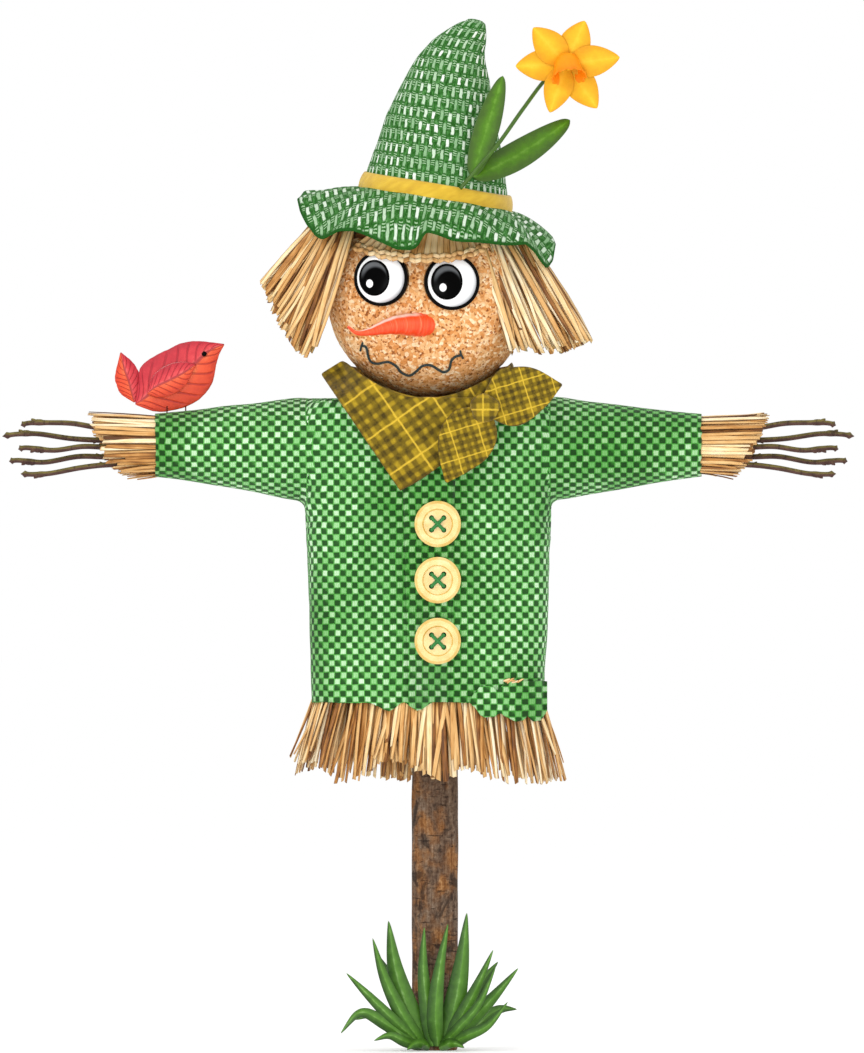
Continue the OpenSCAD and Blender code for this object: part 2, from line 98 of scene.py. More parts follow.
def make_stage():
    scene = bpy.context.scene
    sensor_mm, image_height = 36, 1053
    view_height = image_height * 0.75     # each pixel takes in 0.75 mm
    distance = 14000.0                    # far away, as the figure shows no perspective
    camera = bpy.data.objects.new("camera", bpy.data.cameras.new("camera"))
    scene.collection.objects.link(camera)
    camera.data.sensor_width = sensor_mm
    camera.data.lens = sensor_mm * distance / view_height
    camera.data.clip_end = 100
    camera.location = Vector((-2.25, -distance, 392.6)) * MM
    camera.rotation_euler = (math.pi / 2, 0, 0)
    scene.camera = camera

    world = bpy.data.worlds.new("studio")
    world.use_nodes = True
    background = world.node_tree.nodes["Background"]
    background.inputs["Color"].default_value = (1, 1, 1, 1)
    background.inputs["Strength"].default_value = 1.0
    scene.world = world
    scene.view_settings.view_transform = "Standard"

    def area(name, place, target, size, power):
        lamp = bpy.data.lights.new(name, "AREA")
        lamp.shape = "DISK"
        lamp.size = size
        lamp.energy = power
        lamp_object = bpy.data.objects.new(name, lamp)
        lamp_object.location = place
        direction = Vector(target) - Vector(place)
        lamp_object.rotation_euler = direction.to_track_quat("-Z", "Y").to_euler()
        scene.collection.objects.link(lamp_object)

    area("key_light", (-1.4, -1.9, 2.1), (0, 0, 0.5), 1.1, 19)
    area("fill_light", (1.9, -1.5, 1.1), (0, 0, 0.4), 1.6, 5)
    area("low_light", (-0.1, -1.9, 0.12), (0, 0, 0.52), 0.9, 13)
    area("back_light", (0.9, 2.1, 1.9), (0, 0, 0.5), 1.4, 10)

    ground = bpy.data.meshes.new("floor")
    size = 40
    corners = [(-size, -size, 0), (size, -size, 0), (size, size, 0), (-size, size, 0)]
    ground.from_pydata(corners, [], [(0, 1, 2, 3)])
    floor = bpy.data.objects.new("floor", ground)
    scene.collection.objects.link(floor)
    pale = bpy.data.materials.new("pale_floor")
    pale.use_nodes = True
    shader = pale.node_tree.nodes["Principled BSDF"]
    # The floor is as bright as the sky behind it, so no horizon shows.
    shader.inputs["Base Color"].default_value = (0.8, 0.8, 0.8, 1)
    shader.inputs["Roughness"].default_value = 1.0
    shader.inputs["Specular IOR Level"].default_value = 0.0
    shader.inputs["Emission Color"].default_value = (1, 1, 1, 1)
    shader.inputs["Emission Strength"].default_value = 0.2
    ground.materials.append(pale)


make_stage()


# ---- materials ----

def rgb(code):
    """A colour written as #rrggbb, as the linear values that a shader takes."""
    parts = [int(code[i:i + 2], 16) / 255 for i in (1, 3, 5)]
    return tuple(c / 12.92 if c < 0.04045 else ((c + 0.055) / 1.055) ** 2.4 for c in parts) + (1,)


class Paint:
    """A material whose colour, roughness and bump come from procedural nodes."""

    def __init__(self, name, roughness=0.6, specular=0.4, **sockets):
        self.material = bpy.data.materials.new(name)
        self.material.use_nodes = True
        self.tree = self.material.node_tree
        self.shader = self.tree.nodes["Principled BSDF"]
        self.shader.inputs["Roughness"].default_value = roughness
        self.shader.inputs["Specular IOR Level"].default_value = specular
        for key, value in sockets.items():
            self.shader.inputs[key.replace("_", " ")].default_value = value

    def put(self, socket, value):
        if isinstance(value, bpy.types.NodeSocket):
            self.tree.links.new(value, socket)
        elif value is not None:
            socket.default_value = value

    def add(self, kind, inputs=(), **settings):
        node = self.tree.nodes.new("ShaderNode" + kind)
        for key, value in settings.items():
            setattr(node, key, value)
        for key, value in dict(inputs).items():
            self.put(node.inputs[key], value)
        return node

    def math(self, operation, a, b=None, c=None, clamp=False):
        node = self.add("Math", operation=operation, use_clamp=clamp)
        for socket, value in zip(node.inputs, (a, b, c)):
            self.put(socket, value)
        return node.outputs[0]

    def times(self, a, b, clamp=False):
        return self.math("MULTIPLY", a, b, clamp=clamp)

    def times_add(self, a, b, c, clamp=False):
        return self.math("MULTIPLY_ADD", a, b, c, clamp)

    def plus(self, a, b):
        return self.math("ADD", a, b)

    def minus(self, a, b):
        return self.math("SUBTRACT", a, b)

    def off(self, a, centre):
        """How far a value is from a centre."""
        return self.math("ABSOLUTE", self.minus(a, centre))

    def mix(self, factor, a, b, blend="MIX"):
        node = self.add("Mix", data_type="RGBA", blend_type=blend)
        for index, value in ((0, factor), (6, a), (7, b)):
            self.put(node.inputs[index], value)
        return node.outputs[2]

    def ramp(self, factor, *stops):
        node = self.add("ValToRGB", {"Fac": factor})
        elements = node.color_ramp.elements
        while len(elements) < len(stops):
            elements.new(0.5)
        for element, (place, colour) in zip(elements, stops):
            element.position = place
            element.color = rgb(colour)
        return node.outputs[0]

    def step(self, value, low, high):
        """0 below low and 1 above high, with a smooth step between them."""
        node = self.add("MapRange", interpolation_type="SMOOTHSTEP")
        for key, number in (("Value", value), ("From Min", low), ("From Max", high)):
            self.put(node.inputs[key], number)
        return node.outputs[0]

    def place(self):
        """Where the surface is in the object's frame, in millimetres."""
        coordinates = self.add("TexCoord").outputs["Object"]
        return self.scale(coordinates, (1000, 1000, 1000))

    def scale(self, vector, factors):
        node = self.add("VectorMath", {0: vector, 1: factors}, operation="MULTIPLY")
        return node.outputs[0]

    def uv(self):
        return self.add("UVMap", uv_map="UVMap").outputs[0]

    def split(self, vector):
        return self.add("SeparateXYZ", {0: vector}).outputs

    def join(self, x, y, z=0.0):
        return self.add("CombineXYZ", {0: x, 1: y, 2: z}).outputs[0]

    def noise(self, vector, scale, detail=2.0, roughness=0.5, distortion=0.0):
        inputs = {"Vector": vector, "Scale": scale, "Detail": detail,
                  "Roughness": roughness, "Distortion": distortion}
        return self.add("TexNoise", inputs).outputs[0]

    def cells(self, vector, scale, feature="F1", output=0):
        return self.add("TexVoronoi", {"Vector": vector, "Scale": scale},
                        feature=feature).outputs[output]

    def random(self, vector):
        return self.add("TexWhiteNoise", {"Vector": vector}).outputs[0]

    def tone(self):
        return self.add("Attribute", attribute_name="tone").outputs["Fac"]

    def colour(self, value):
        self.put(self.shader.inputs["Base Color"], value)

    def bump(self, height, depth_mm, strength=1.0):
        node = self.add("Bump", {"Height": height, "Strength": strength, "Distance": depth_mm * MM})
        self.put(self.shader.inputs["Normal"], node.outputs[0])

    def rough(self, value, low, high):
        node = self.add("MapRange", {"Value": value, "To Min": low, "To Max": high})
        self.put(self.shader.inputs["Roughness"], node.outputs[0])


def straw_paint(name, stops):
    """Dry stalks: each has its own tone, with fibres along it and dark edges."""
    p = Paint(name, roughness=0.5, specular=0.3)
    u, v, _ = p.split(p.uv())
    tone = p.tone()
    offset = p.times(tone, 913.0)
    along = p.join(p.times(u, 9.0), p.times(v, 0.035), offset)
    fibres = p.noise(along, 1.6, 3.0, 0.65)
    patches = p.noise(p.join(u, p.times(v, 0.05), offset), 1.3, 2.0)
    mixed = p.times_add(p.minus(fibres, 0.5), 0.85, tone)
    mixed = p.times_add(p.minus(patches, 0.5), 0.45, mixed, clamp=True)
    body = p.ramp(mixed, *stops)
    edge = p.off(p.math("FRACT", p.times(u, 2.0)), 0.5)
    edge = p.step(edge, 0.30, 0.5)
    colour = p.mix(p.times(edge, 0.7), body, p.mix(1.0, body, rgb("#7a4d28"), "MULTIPLY"))
    p.colour(colour)
    p.rough(fibres, 0.4, 0.68)
    p.bump(fibres, 0.5, 0.8)
    return p.material


def check_paint():
    """Two greens in a woven check, with the single threads in the light cells."""
    p = Paint("check_cloth", roughness=0.85, specular=0.15, Sheen_Weight=0.1)
    pitch_u, pitch_v = 4.8, 4.5
    u, v, _ = p.split(p.uv())
    wander = p.noise(p.uv(), 0.05, 2.0)
    wobble = p.noise(p.uv(), 0.5, 2.0)
    shift = p.times_add(p.minus(wander, 0.5), 3.0, p.times(p.minus(wobble, 0.5), 0.9))
    u = p.math("DIVIDE", p.plus(u, shift), pitch_u)
    v = p.math("DIVIDE", p.times_add(shift, 0.7, v), pitch_v)
    cell_u, cell_v = p.math("FLOOR", u), p.math("FLOOR", v)
    part_u, part_v = p.math("FRACT", u), p.math("FRACT", v)

    def border(part):
        return p.minus(0.5, p.off(part, 0.5))

    edge = p.math("MINIMUM", border(part_u), border(part_v))
    dark_cell = p.math("FLOORED_MODULO", p.plus(cell_u, cell_v), 2.0)
    chance = p.random(p.join(cell_u, cell_v))
    other = p.random(p.join(cell_v, cell_u, 4.0))
    threads = p.math("SINE", p.times(u, TAU * 4))
    weft = p.math("SINE", p.times(v, TAU * 4))
    fluff = p.noise(p.uv(), 1.4, 3.0, 0.6)
    light = p.ramp(p.times_add(threads, 0.16, p.times_add(chance, 0.55, 0.25)), (0.0, "#5fae52"),
                   (0.45, "#93ca89"), (1.0, "#dcefd7"))
    corner = p.times(p.times(part_u, part_v), p.step(other, 0.3, 1.0))
    dark = p.ramp(p.times_add(corner, 0.8, p.times(fluff, 0.4)), (0.0, "#1c4418"), (0.4, "#24511f"),
                  (1.0, "#4f9a42"))
    mid = p.mix(fluff, rgb("#3b8a32"), rgb("#66b457"))
    colour = p.mix(dark_cell, p.mix(p.step(edge, 0.05, 0.17), mid, light),
                   p.mix(p.step(edge, 0.01, 0.09), mid, dark))
    shade = p.noise(p.scale(p.place(), (0.012, 0.012, 0.007)), 1.0, 2.0)
    colour = p.mix(p.step(shade, 0.35, 0.62), p.mix(1.0, colour, rgb("#aecfa0"), "MULTIPLY"), colour)
    p.colour(colour)
    height = p.times_add(p.step(edge, 0.0, 0.16), 0.6, p.times(p.times(threads, weft), 0.25))
    p.bump(p.times_add(fluff, 0.5, height), 0.45, 0.8)
    return p.material


def hat_paint():
    """Coarse green cloth: staggered pale bars, with short dark dashes under each."""
    p = Paint("hat_weave", roughness=0.85, specular=0.1)
    column_w, period = 3.3, 20.0
    u, v, _ = p.split(p.uv())
    wobble = p.minus(p.noise(p.uv(), 0.22, 2.0), 0.5)
    u = p.times_add(wobble, 2.2, u)
    v = p.times_add(wobble, -3.0, v)
    column = p.math("FLOOR", p.math("DIVIDE", u, column_w))
    across = p.off(p.math("FRACT", p.math("DIVIDE", u, column_w)), 0.5)
    odd = p.math("FLOORED_MODULO", column, 2.0)
    down = p.plus(p.math("DIVIDE", v, -period), p.times(odd, 0.5))
    row = p.math("FLOOR", down)
    along = p.math("FRACT", down)
    chance = p.random(p.join(column, row))
    fluff = p.noise(p.uv(), 1.1, 4.0, 0.65)
    haze = p.noise(p.scale(p.uv(), (1.0, 0.35, 1.0)), 0.55, 2.0)
    start = p.times(chance, 0.12)
    bar = p.times(p.step(across, 0.46, 0.28), p.times(p.step(p.minus(along, start), 0.0, 0.06),
                                                      p.step(along, 0.46, 0.41)))
    dashes = p.step(p.math("SINE", p.times(along, TAU / 0.085)), -0.3, 0.5)
    dash_zone = p.times(p.times(p.step(along, 0.45, 0.48), p.step(along, 0.76, 0.73)),
                        p.step(across, 0.49, 0.40))
    ground = p.ramp(p.times_add(haze, 0.55, p.times(fluff, 0.45)), (0.3, "#123c0b"), (0.46, "#25591d"),
                    (0.58, "#46803e"), (0.72, "#8bb383"))
    ground = p.mix(p.times(p.step(across, 0.40, 0.5), 0.45), ground, rgb("#1f5716"))
    bar_colour = p.ramp(p.times_add(p.minus(fluff, 0.5), 0.9, chance), (0.0, "#7fa879"),
                        (0.35, "#a6c4a0"), (0.7, "#d0e0cc"), (1.0, "#e9f1e6"))
    colour = p.mix(p.times(dash_zone, 0.9), ground, p.mix(dashes, rgb("#1f5c17"), rgb("#9cbf94")))
    colour = p.mix(p.times(bar, 0.95), colour, bar_colour)
    edge = p.step(p.tone(), 0.94, 0.98)
    p.colour(p.mix(edge, colour, rgb("#1d5219")))
    height = p.times_add(bar, 0.8, p.times(p.times(dashes, dash_zone), 0.5))
    p.bump(p.times_add(fluff, 0.5, height), 0.8, 0.9)
    return p.material


def plaid_paint():
    """Olive and gold plaid: blotchy dark stripes between bright yellow lines."""
    p = Paint("plaid_cloth", roughness=0.8, specular=0.15, Sheen_Weight=0.1)
    u, v, _ = p.split(p.uv())
    wobble = p.minus(p.noise(p.uv(), 0.12, 2.0), 0.5)
    u = p.times_add(wobble, 1.6, u)
    v = p.times_add(wobble, 1.6, v)
    period = 27.0
    fluff = p.noise(p.uv(), 0.9, 3.0, 0.65)
    blotch = p.noise(p.uv(), 0.2, 3.0, 0.6)

    def parts(value):
        """The dark stripes and the bright line of one direction, 0 to 1."""
        place = p.math("FRACT", p.math("DIVIDE", value, period))
        off = p.off(place, 0.5)
        stripes = p.math("COSINE", p.times(off, TAU * 4.0))
        stripes = p.times(p.step(stripes, -1.0, 0.5), p.step(off, 0.47, 0.36))
        return stripes, p.step(off, 0.468, 0.488)

    dark_u, line_u = parts(u)
    dark_v, line_v = parts(v)
    ground = p.ramp(p.times_add(blotch, 0.6, p.times(fluff, 0.4)), (0.25, "#86700f"), (0.5, "#a4881b"),
                    (0.75, "#bc9e2c"))
    kept = p.times(p.times_add(dark_u, -0.66, 1.0), p.times_add(dark_v, -0.66, 1.0))
    uneven = p.times_add(p.step(blotch, 0.3, 0.62), 0.4, 0.6)
    dark = p.times(p.minus(1.0, kept), uneven)
    colour = p.mix(dark, ground, rgb("#1d1505"))
    bright = p.math("MAXIMUM", line_u, line_v)
    colour = p.mix(p.times(bright, p.times_add(fluff, 0.7, 0.35), clamp=True), colour, rgb("#e0bb3a"))
    edge = p.step(p.tone(), 0.94, 1.0)
    colour = p.mix(p.times(edge, 0.6), colour, rgb("#4a3510"))
    p.colour(colour)
    twill = p.math("SINE", p.times(p.plus(u, v), TAU / 1.3))
    p.bump(p.times_add(twill, 0.3, p.plus(fluff, p.times(bright, 0.3))), 0.4, 0.7)
    return p.material


def cork_paint():
    """Pressed cork: pale granules with dark specks between them."""
    p = Paint("cork", roughness=0.75, specular=0.2)
    place = p.place()
    warp = p.add("TexNoise", {"Vector": place, "Scale": 0.5, "Detail": 2.0}).outputs[1]
    warped = p.add("VectorMath", {0: p.scale(warp, (0.9, 0.9, 0.9)), 1: place}).outputs[0]
    grain = p.cells(warped, 0.40, output=1)
    tone = p.split(grain)[0]
    seam = p.cells(warped, 0.40, "DISTANCE_TO_EDGE")
    fine = p.noise(place, 0.75, 4.0, 0.75)
    broad = p.noise(place, 0.22, 3.0, 0.6)
    mixed = p.times_add(fine, 0.30, p.times_add(tone, 0.45, p.times(broad, 0.25)))
    colour = p.ramp(mixed, (0.28, "#cf8442"), (0.44, "#e3a566"), (0.58, "#efc08a"), (0.74, "#fbe2bc"))
    colour = p.mix(p.times(p.step(seam, 0.10, 0.01), 0.35), colour, rgb("#b9743a"))
    crumb = p.split(p.cells(warped, 0.75, output=1))[1]
    speck = p.times(p.step(crumb, 0.13, 0.08), 0.9)
    colour = p.mix(speck, colour, p.mix(tone, rgb("#7d421b"), rgb("#b9682c")))
    p.colour(colour)
    p.rough(fine, 0.6, 0.85)
    height = p.times_add(p.step(seam, 0.0, 0.2), 0.4, fine)
    p.bump(p.times_add(speck, -0.6, height), 0.7, 0.8)
    return p.material


def gloss_paint(name, colour, roughness, variation):
    p = Paint(name, roughness=roughness, specular=0.04)
    mottle = p.noise(p.place(), 0.2, 3.0)
    p.colour(p.mix(p.times(mottle, 0.15), rgb(colour), rgb(variation)))
    p.rough(p.noise(p.place(), 0.9, 3.0), roughness, roughness + 0.12)
    return p.material


def eye_paint():
    """White enamel, with painted shade that greys it towards its lower right rim."""
    p = Paint("eye_white", roughness=0.15, specular=0.4, Coat_Weight=0.3, Coat_Roughness=0.05)
    u, v, _ = p.split(p.uv())
    toward = p.minus(p.times(u, 0.75), p.times(v, 0.6))
    far = p.math("SQRT", p.plus(p.math("POWER", u, 2.0), p.math("POWER", v, 2.0)))
    # Painted shade: the white greys towards the lower right rim.
    shade = p.times(p.step(toward, 3.0, 18.0), p.step(far, 13.0, 19.0))
    mottle = p.times(p.noise(p.uv(), 0.15, 2.0), 0.05)
    p.colour(p.mix(p.plus(p.times(shade, 0.8), mottle), rgb("#f6f6f6"), rgb("#8b8e93")))
    return p.material


def pupil_paint():
    """Black, with a painted reflection, a soft grey crescent, over a painted highlight, a round white glint.
    """
    p = Paint("pupil", roughness=0.25, specular=0.03)
    u, v, _ = p.split(p.uv())

    def distance(x, y, tall=1.0):
        du = p.minus(u, x)
        dv = p.math("DIVIDE", p.minus(v, y), tall)
        return p.math("SQRT", p.plus(p.times(du, du), p.times(dv, dv)))

    # Painted reflection: a soft grey crescent between these two circles, towards the top.
    inside = p.step(distance(0.0, 0.6, 1.12), 10.4, 9.4)
    outside = p.step(distance(1.2, -2.2, 1.1), 8.4, 10.8)
    painted_reflection = p.times(p.times(inside, outside), p.step(v, -2.0, 9.0))
    # Painted highlight: a round white glint.
    glint = p.step(distance(-3.2, -4.3, 1.15), 2.9, 2.3)
    colour = p.mix(p.times(painted_reflection, 0.35), rgb("#020202"), rgb("#9a9ea2"))
    p.colour(p.mix(glint, colour, rgb("#ffffff")))
    return p.material


def carrot_paint():
    p = Paint("carrot", roughness=0.35, specular=0.3, Coat_Weight=0.15, Coat_Roughness=0.15)
    u, v, _ = p.split(p.uv())
    rings = p.noise(p.join(p.times(u, 2.0), p.times(v, 0.5)), 1.0, 3.0, 0.6)
    creases = p.noise(p.join(p.times(u, 1.2), p.times(v, 1.4)), 0.5, 2.0)
    colour = p.ramp(rings, (0.25, "#ee3f18"), (0.5, "#fb5226"), (0.75, "#ff6a3c"))
    colour = p.mix(p.times(p.step(creases, 0.62, 0.68), 0.4), colour, rgb("#ff9a6e"))
    # Painted highlight: a pale streak along the carrot's upper side.
    top = p.off(u, 0.35)
    painted_highlight_streak = p.times(p.step(top, 0.075, 0.02), p.step(v, 6.0, 14.0))
    colour = p.mix(p.times(painted_highlight_streak, 0.85), colour, rgb("#ffdccb"))
    # Painted shade: the carrot's lower side is darker.
    low = p.step(p.off(u, 0.75), 0.22, 0.08)
    colour = p.mix(p.times(low, 0.4), colour, rgb("#cf2c0a"))
    p.colour(colour)
    p.bump(p.plus(rings, p.times(p.step(creases, 0.68, 0.60), 0.4)), 0.4, 0.5)
    return p.material


def bark_paint():
    """Thin bark: grey and brown patches, orange where it has rubbed off, and cross cracks."""
    p = Paint("bark_wood", roughness=0.85, specular=0.15)
    place = p.place()
    grain = p.noise(p.scale(place, (0.34, 0.34, 0.03)), 1.0, 5.0, 0.7, 0.3)
    small = p.noise(place, 0.32, 5.0, 0.75)
    patch = p.noise(p.scale(place, (0.06, 0.06, 0.045)), 1.0, 4.0, 0.65, 0.5)
    rubbed = p.noise(p.scale(place, (0.055, 0.055, 0.04)), 1.0, 3.0, 0.6)
    crack = p.noise(p.scale(place, (0.07, 0.07, 0.55)), 1.0, 4.0, 0.6, 0.3)
    mixed = p.times_add(grain, 0.5, p.times(small, 0.5))
    colour = p.ramp(mixed, (0.32, "#291e18"), (0.44, "#503d30"), (0.55, "#6f5b4a"), (0.70, "#9c8d7e"))
    warm = p.ramp(mixed, (0.32, "#4a2912"), (0.5, "#875527"), (0.68, "#b98a52"))
    colour = p.mix(p.times(p.step(rubbed, 0.44, 0.68), 0.75), colour, warm)
    colour = p.mix(p.times(p.step(patch, 0.53, 0.62), 0.7), colour, rgb("#231a16"))
    colour = p.mix(p.times(p.step(crack, 0.60, 0.68), 0.7), colour, rgb("#1f1613"))
    below = p.step(p.split(place)[2], -1.0, -6.0)
    shaved = p.ramp(grain, (0.3, "#8a6238"), (0.7, "#c9a06a"))
    p.colour(p.mix(below, colour, shaved))
    height = p.times_add(p.step(crack, 0.60, 0.68), -0.6, mixed)
    p.bump(height, 1.2, 0.9)
    return p.material


def wood_paint():
    p = Paint("plain_wood", roughness=0.6, specular=0.3)
    rings = p.noise(p.scale(p.place(), (0.04, 0.5, 0.5)), 1.0, 4.0, 0.6, 0.5)
    p.colour(p.ramp(rings, (0.3, "#b98a52"), (0.5, "#d5aa70"), (0.7, "#e3c08c")))
    p.bump(rings, 0.4, 0.6)
    return p.material


def steel_paint():
    p = Paint("steel", roughness=0.35, Metallic=1.0)
    scratches = p.noise(p.scale(p.place(), (0.4, 4.0, 0.4)), 1.0, 3.0)
    p.colour(p.ramp(scratches, (0.3, "#8d9094"), (0.7, "#c3c6c9")))
    p.rough(scratches, 0.25, 0.5)
    return p.material


def twig_paint():
    """Smooth twigs, olive above and purple-brown below."""
    p = Paint("twig", roughness=0.6, specular=0.2)
    place = p.place()
    mottle = p.noise(p.scale(place, (0.12, 0.5, 0.5)), 1.0, 4.0, 0.65)
    normal_z = p.split(p.add("NewGeometry").outputs["Normal"])[2]
    upper = p.step(p.times_add(mottle, 0.8, normal_z), 0.1, 1.1)
    colour = p.mix(upper, p.ramp(mottle, (0.3, "#382220"), (0.7, "#5d4038")),
                   p.ramp(mottle, (0.3, "#4a4420"), (0.7, "#7a6f38")))
    bands = p.noise(p.scale(place, (0.35, 0.1, 0.1)), 1.0, 2.0)
    p.colour(p.mix(p.times(p.step(bands, 0.55, 0.70), 0.6), colour, rgb("#2f1d1a")))
    p.bump(mottle, 0.5, 0.7)
    return p.material


def leaf_paint(name, stops, rib, vein_count=9, gloss=0.35, vein_mix=0.5, specular=0.3,
               other_side=None):
    """A leaf or petal: u runs across it from -1 to 1, v along it from 0 to 1."""
    p = Paint(name, roughness=gloss, specular=specular)
    u, v, _ = p.split(p.uv())
    side = p.math("ABSOLUTE", u)
    mottle = p.noise(p.place(), 0.16, 3.0, 0.6)
    blend = p.times_add(p.minus(mottle, 0.5), 0.6, p.times_add(side, -0.65, 0.85), clamp=True)
    colour = p.ramp(blend, *stops)
    if other_side:
        colour = p.mix(p.step(u, -0.05, 0.05), colour, p.ramp(blend, *other_side))
    slant = p.minus(p.times(v, float(vein_count)), p.times(side, vein_count * 0.22))
    vein = p.off(p.math("FRACT", slant), 0.5)
    vein = p.times(p.step(vein, 0.16, 0.02), p.step(side, 1.0, 0.75))
    midrib = p.step(side, 0.12, 0.02)
    line = p.math("MAXIMUM", p.times(vein, 0.8), midrib)
    if not vein_count:
        line = midrib
    colour = p.mix(p.times(line, vein_mix), colour, rgb(rib))
    # Painted highlight: a pale line where the tone attribute is near 1, as along the bird's wing's upper
    # edge.
    colour = p.mix(p.step(p.tone(), 0.9, 1.0), colour, rgb("#f4ded8"))
    p.colour(colour)
    p.rough(mottle, gloss, gloss + 0.2)
    p.bump(p.times_add(line, -0.8 if vein_mix else 0.0, p.times(mottle, 0.6)), 0.7, 0.8)
    return p.material


def thread_paint(name, dark, light):
    p = Paint(name, roughness=0.7, specular=0.3)
    twist = p.math("SINE", p.times(p.plus(*p.split(p.place())[:2]), 5.0))
    p.colour(p.mix(p.times_add(twist, 0.3, 0.5), rgb(dark), rgb(light)))
    p.bump(twist, 0.15, 0.7)
    return p.material


def button_paint():
    """Cast yellow plastic with a fine mottle."""
    p = Paint("button_yellow", roughness=0.3, specular=0.5, Coat_Weight=0.3, Coat_Roughness=0.2)
    mottle = p.noise(p.place(), 0.12, 3.0)
    p.colour(p.ramp(mottle, (0.3, "#d2a84c"), (0.5, "#dfbb69"), (0.7, "#e9cd8a")))
    p.rough(mottle, 0.25, 0.45)
    p.bump(p.noise(p.place(), 1.2, 3.0), 0.08, 0.6)
    return p.material


def ribbon_paint():
    p = Paint("yellow_ribbon", roughness=0.6, specular=0.3, Sheen_Weight=0.2)
    u = p.split(p.uv())[0]
    ribs = p.math("SINE", p.times(u, TAU / 0.9))
    mottle = p.noise(p.uv(), 0.12, 3.0)
    colour = p.ramp(mottle, (0.3, "#c79c20"), (0.5, "#d3ab26"), (0.75, "#dfbb34"))
    edge = p.step(p.tone(), 0.8, 0.95)
    colour = p.mix(p.times(edge, 0.4), colour, rgb("#f3dc7a"))
    p.colour(p.mix(p.times_add(ribs, 0.02, 0.03), colour, rgb("#a87f14")))
    p.bump(p.times_add(ribs, 0.4, mottle), 0.3, 0.6)
    return p.material


STRAW = ((0.0, "#5b371a"), (0.14, "#875527"), (0.3, "#b9803f"), (0.5, "#d6a565"), (0.7, "#e6bf84"),
         (0.85, "#f1d6a4"), (1.0, "#f9e8c6"))
RAFFIA = ((0.0, "#5b3417"), (0.3, "#b88145"), (0.6, "#e0b378"), (1.0, "#f5dfb4"))

straw = straw_paint("straw", STRAW)
raffia = straw_paint("braided_straw", RAFFIA)
check = check_paint()
weave = hat_paint()
plaid = plaid_paint()
cork = cork_paint()
bark = bark_paint()
black = gloss_paint("black_plastic", "#050505", 0.2, "#0d0d0f")
enamel = eye_paint()
pupil_black = pupil_paint()
carrot = carrot_paint()
plain_wood = wood_paint()
steel = steel_paint()
twig_bark = twig_paint()
mouth_dark = thread_paint("dark_thread", "#1b2423", "#364341")
green_thread = thread_paint("green_thread", "#1f5c2a", "#3f8f48")
wire = gloss_paint("dark_wire", "#5a241c", 0.4, "#7a4438")
button_yellow = button_paint()
ribbon = ribbon_paint()
grass = leaf_paint("grass", ((0.0, "#1a330b"), (0.45, "#2d5212"), (0.8, "#44701f"), (1.0, "#6e9a48")),
                   "#1d3a0c", 0, 0.3, 0.0, 0.35,
                   ((0.0, "#2f4d14"), (0.45, "#3f6b1a"), (0.8, "#558628"), (1.0, "#8bb268")))
flower_green = leaf_paint("flower_green",
                          ((0.0, "#33501a"), (0.4, "#3f5f1a"), (0.75, "#4a7a0f"), (1.0, "#6c9a34")),
                          "#7cb04a", 0, 0.25, 0.0, 0.3)
petal_yellow = leaf_paint("petal_yellow",
                          ((0.0, "#cc8a14"), (0.35, "#da9c14"), (0.7, "#e6b01c"), (1.0, "#efc434")),
                          "#fbe07a", 0, 0.5, 0.0, 0.25)
corona_orange = leaf_paint("corona_orange",
                           ((0.0, "#ee7a0a"), (0.4, "#fa8a04"), (0.8, "#ff9704"), (1.0, "#ffa414")),
                           "#d85f08", 0, 0.45, 0.0, 0.25)
red_leaf = leaf_paint("red_leaf",
                      ((0.0, "#a22c18"), (0.35, "#cc3c1e"), (0.7, "#e0512a"), (1.0, "#ee7446")),
                      "#8a1020", 9, 0.4, 0.75, 0.35,
                      ((0.0, "#8c1420"), (0.35, "#b62230"), (0.7, "#cf3a40"), (1.0, "#e2706c")))


# ---- mesh helpers ----

def add_object(name, mesh, material, body, replaces=()):
    mesh.materials.append(material)
    mesh.shade_smooth()
    piece = bpy.data.objects.new(name, mesh)
    bpy.context.scene.collection.objects.link(piece)
    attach(piece, body)
    if replaces:
        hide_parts(*replaces)
    return piece


class Batch:
    """Collects points and faces in millimetres, then makes one mesh of them."""

    def __init__(self):
        self.points, self.faces, self.uvs, self.tones = [], [], [], []

    def grid(self, rows, uvs, tone, flip=False):
        """rows of points, each as long as the others; uvs and tone are the same or one number."""
        start = len(self.points)
        count, width = len(rows), len(rows[0])
        for i, row in enumerate(rows):
            for j, point in enumerate(row):
                self.points.append(tuple(point))
                self.uvs.append(tuple(uvs[i][j]))
                self.tones.append(tone if isinstance(tone, (int, float)) else tone[i][j])
        for i in range(count - 1):
            for j in range(width - 1):
                here = start + i * width + j
                face = (here, here + 1, here + width + 1, here + width)
                self.faces.append(face[::-1] if flip else face)
        return start

    def cap(self, start, width, row, flip):
        ring = [start + row * width + j for j in range(width)]
        self.faces.append(ring[::-1] if flip else ring)

    def closed(self, rows, uvs, tone):
        """A grid with a face over its first row and one over its last."""
        start = self.grid(rows, uvs, tone)
        self.cap(start, len(rows[0]), 0, True)
        self.cap(start, len(rows[0]), len(rows) - 1, False)

    def mesh(self, name):
        mesh = bpy.data.meshes.new(name)
        mesh.from_pydata([(x * MM, y * MM, z * MM) for x, y, z in self.points], [], self.faces)
        tone = mesh.attributes.new("tone", "FLOAT", "POINT")
        tone.data.foreach_set("value", self.tones)
        layer = mesh.uv_layers.new(name="UVMap")
        for loop in mesh.loops:
            layer.data[loop.index].uv = self.uvs[loop.vertex_index]
        edit = bmesh.new()
        edit.from_mesh(mesh)
        bmesh.ops.remove_doubles(edit, verts=edit.verts, dist=2e-6)
        bmesh.ops.recalc_face_normals(edit, faces=edit.faces)
        edit.to_mesh(mesh)
        edit.free()
        return mesh

    def piece(self, name, material, body, slot, replaces=()):
        return add_object(name, self.mesh(name), material, body, replaces)


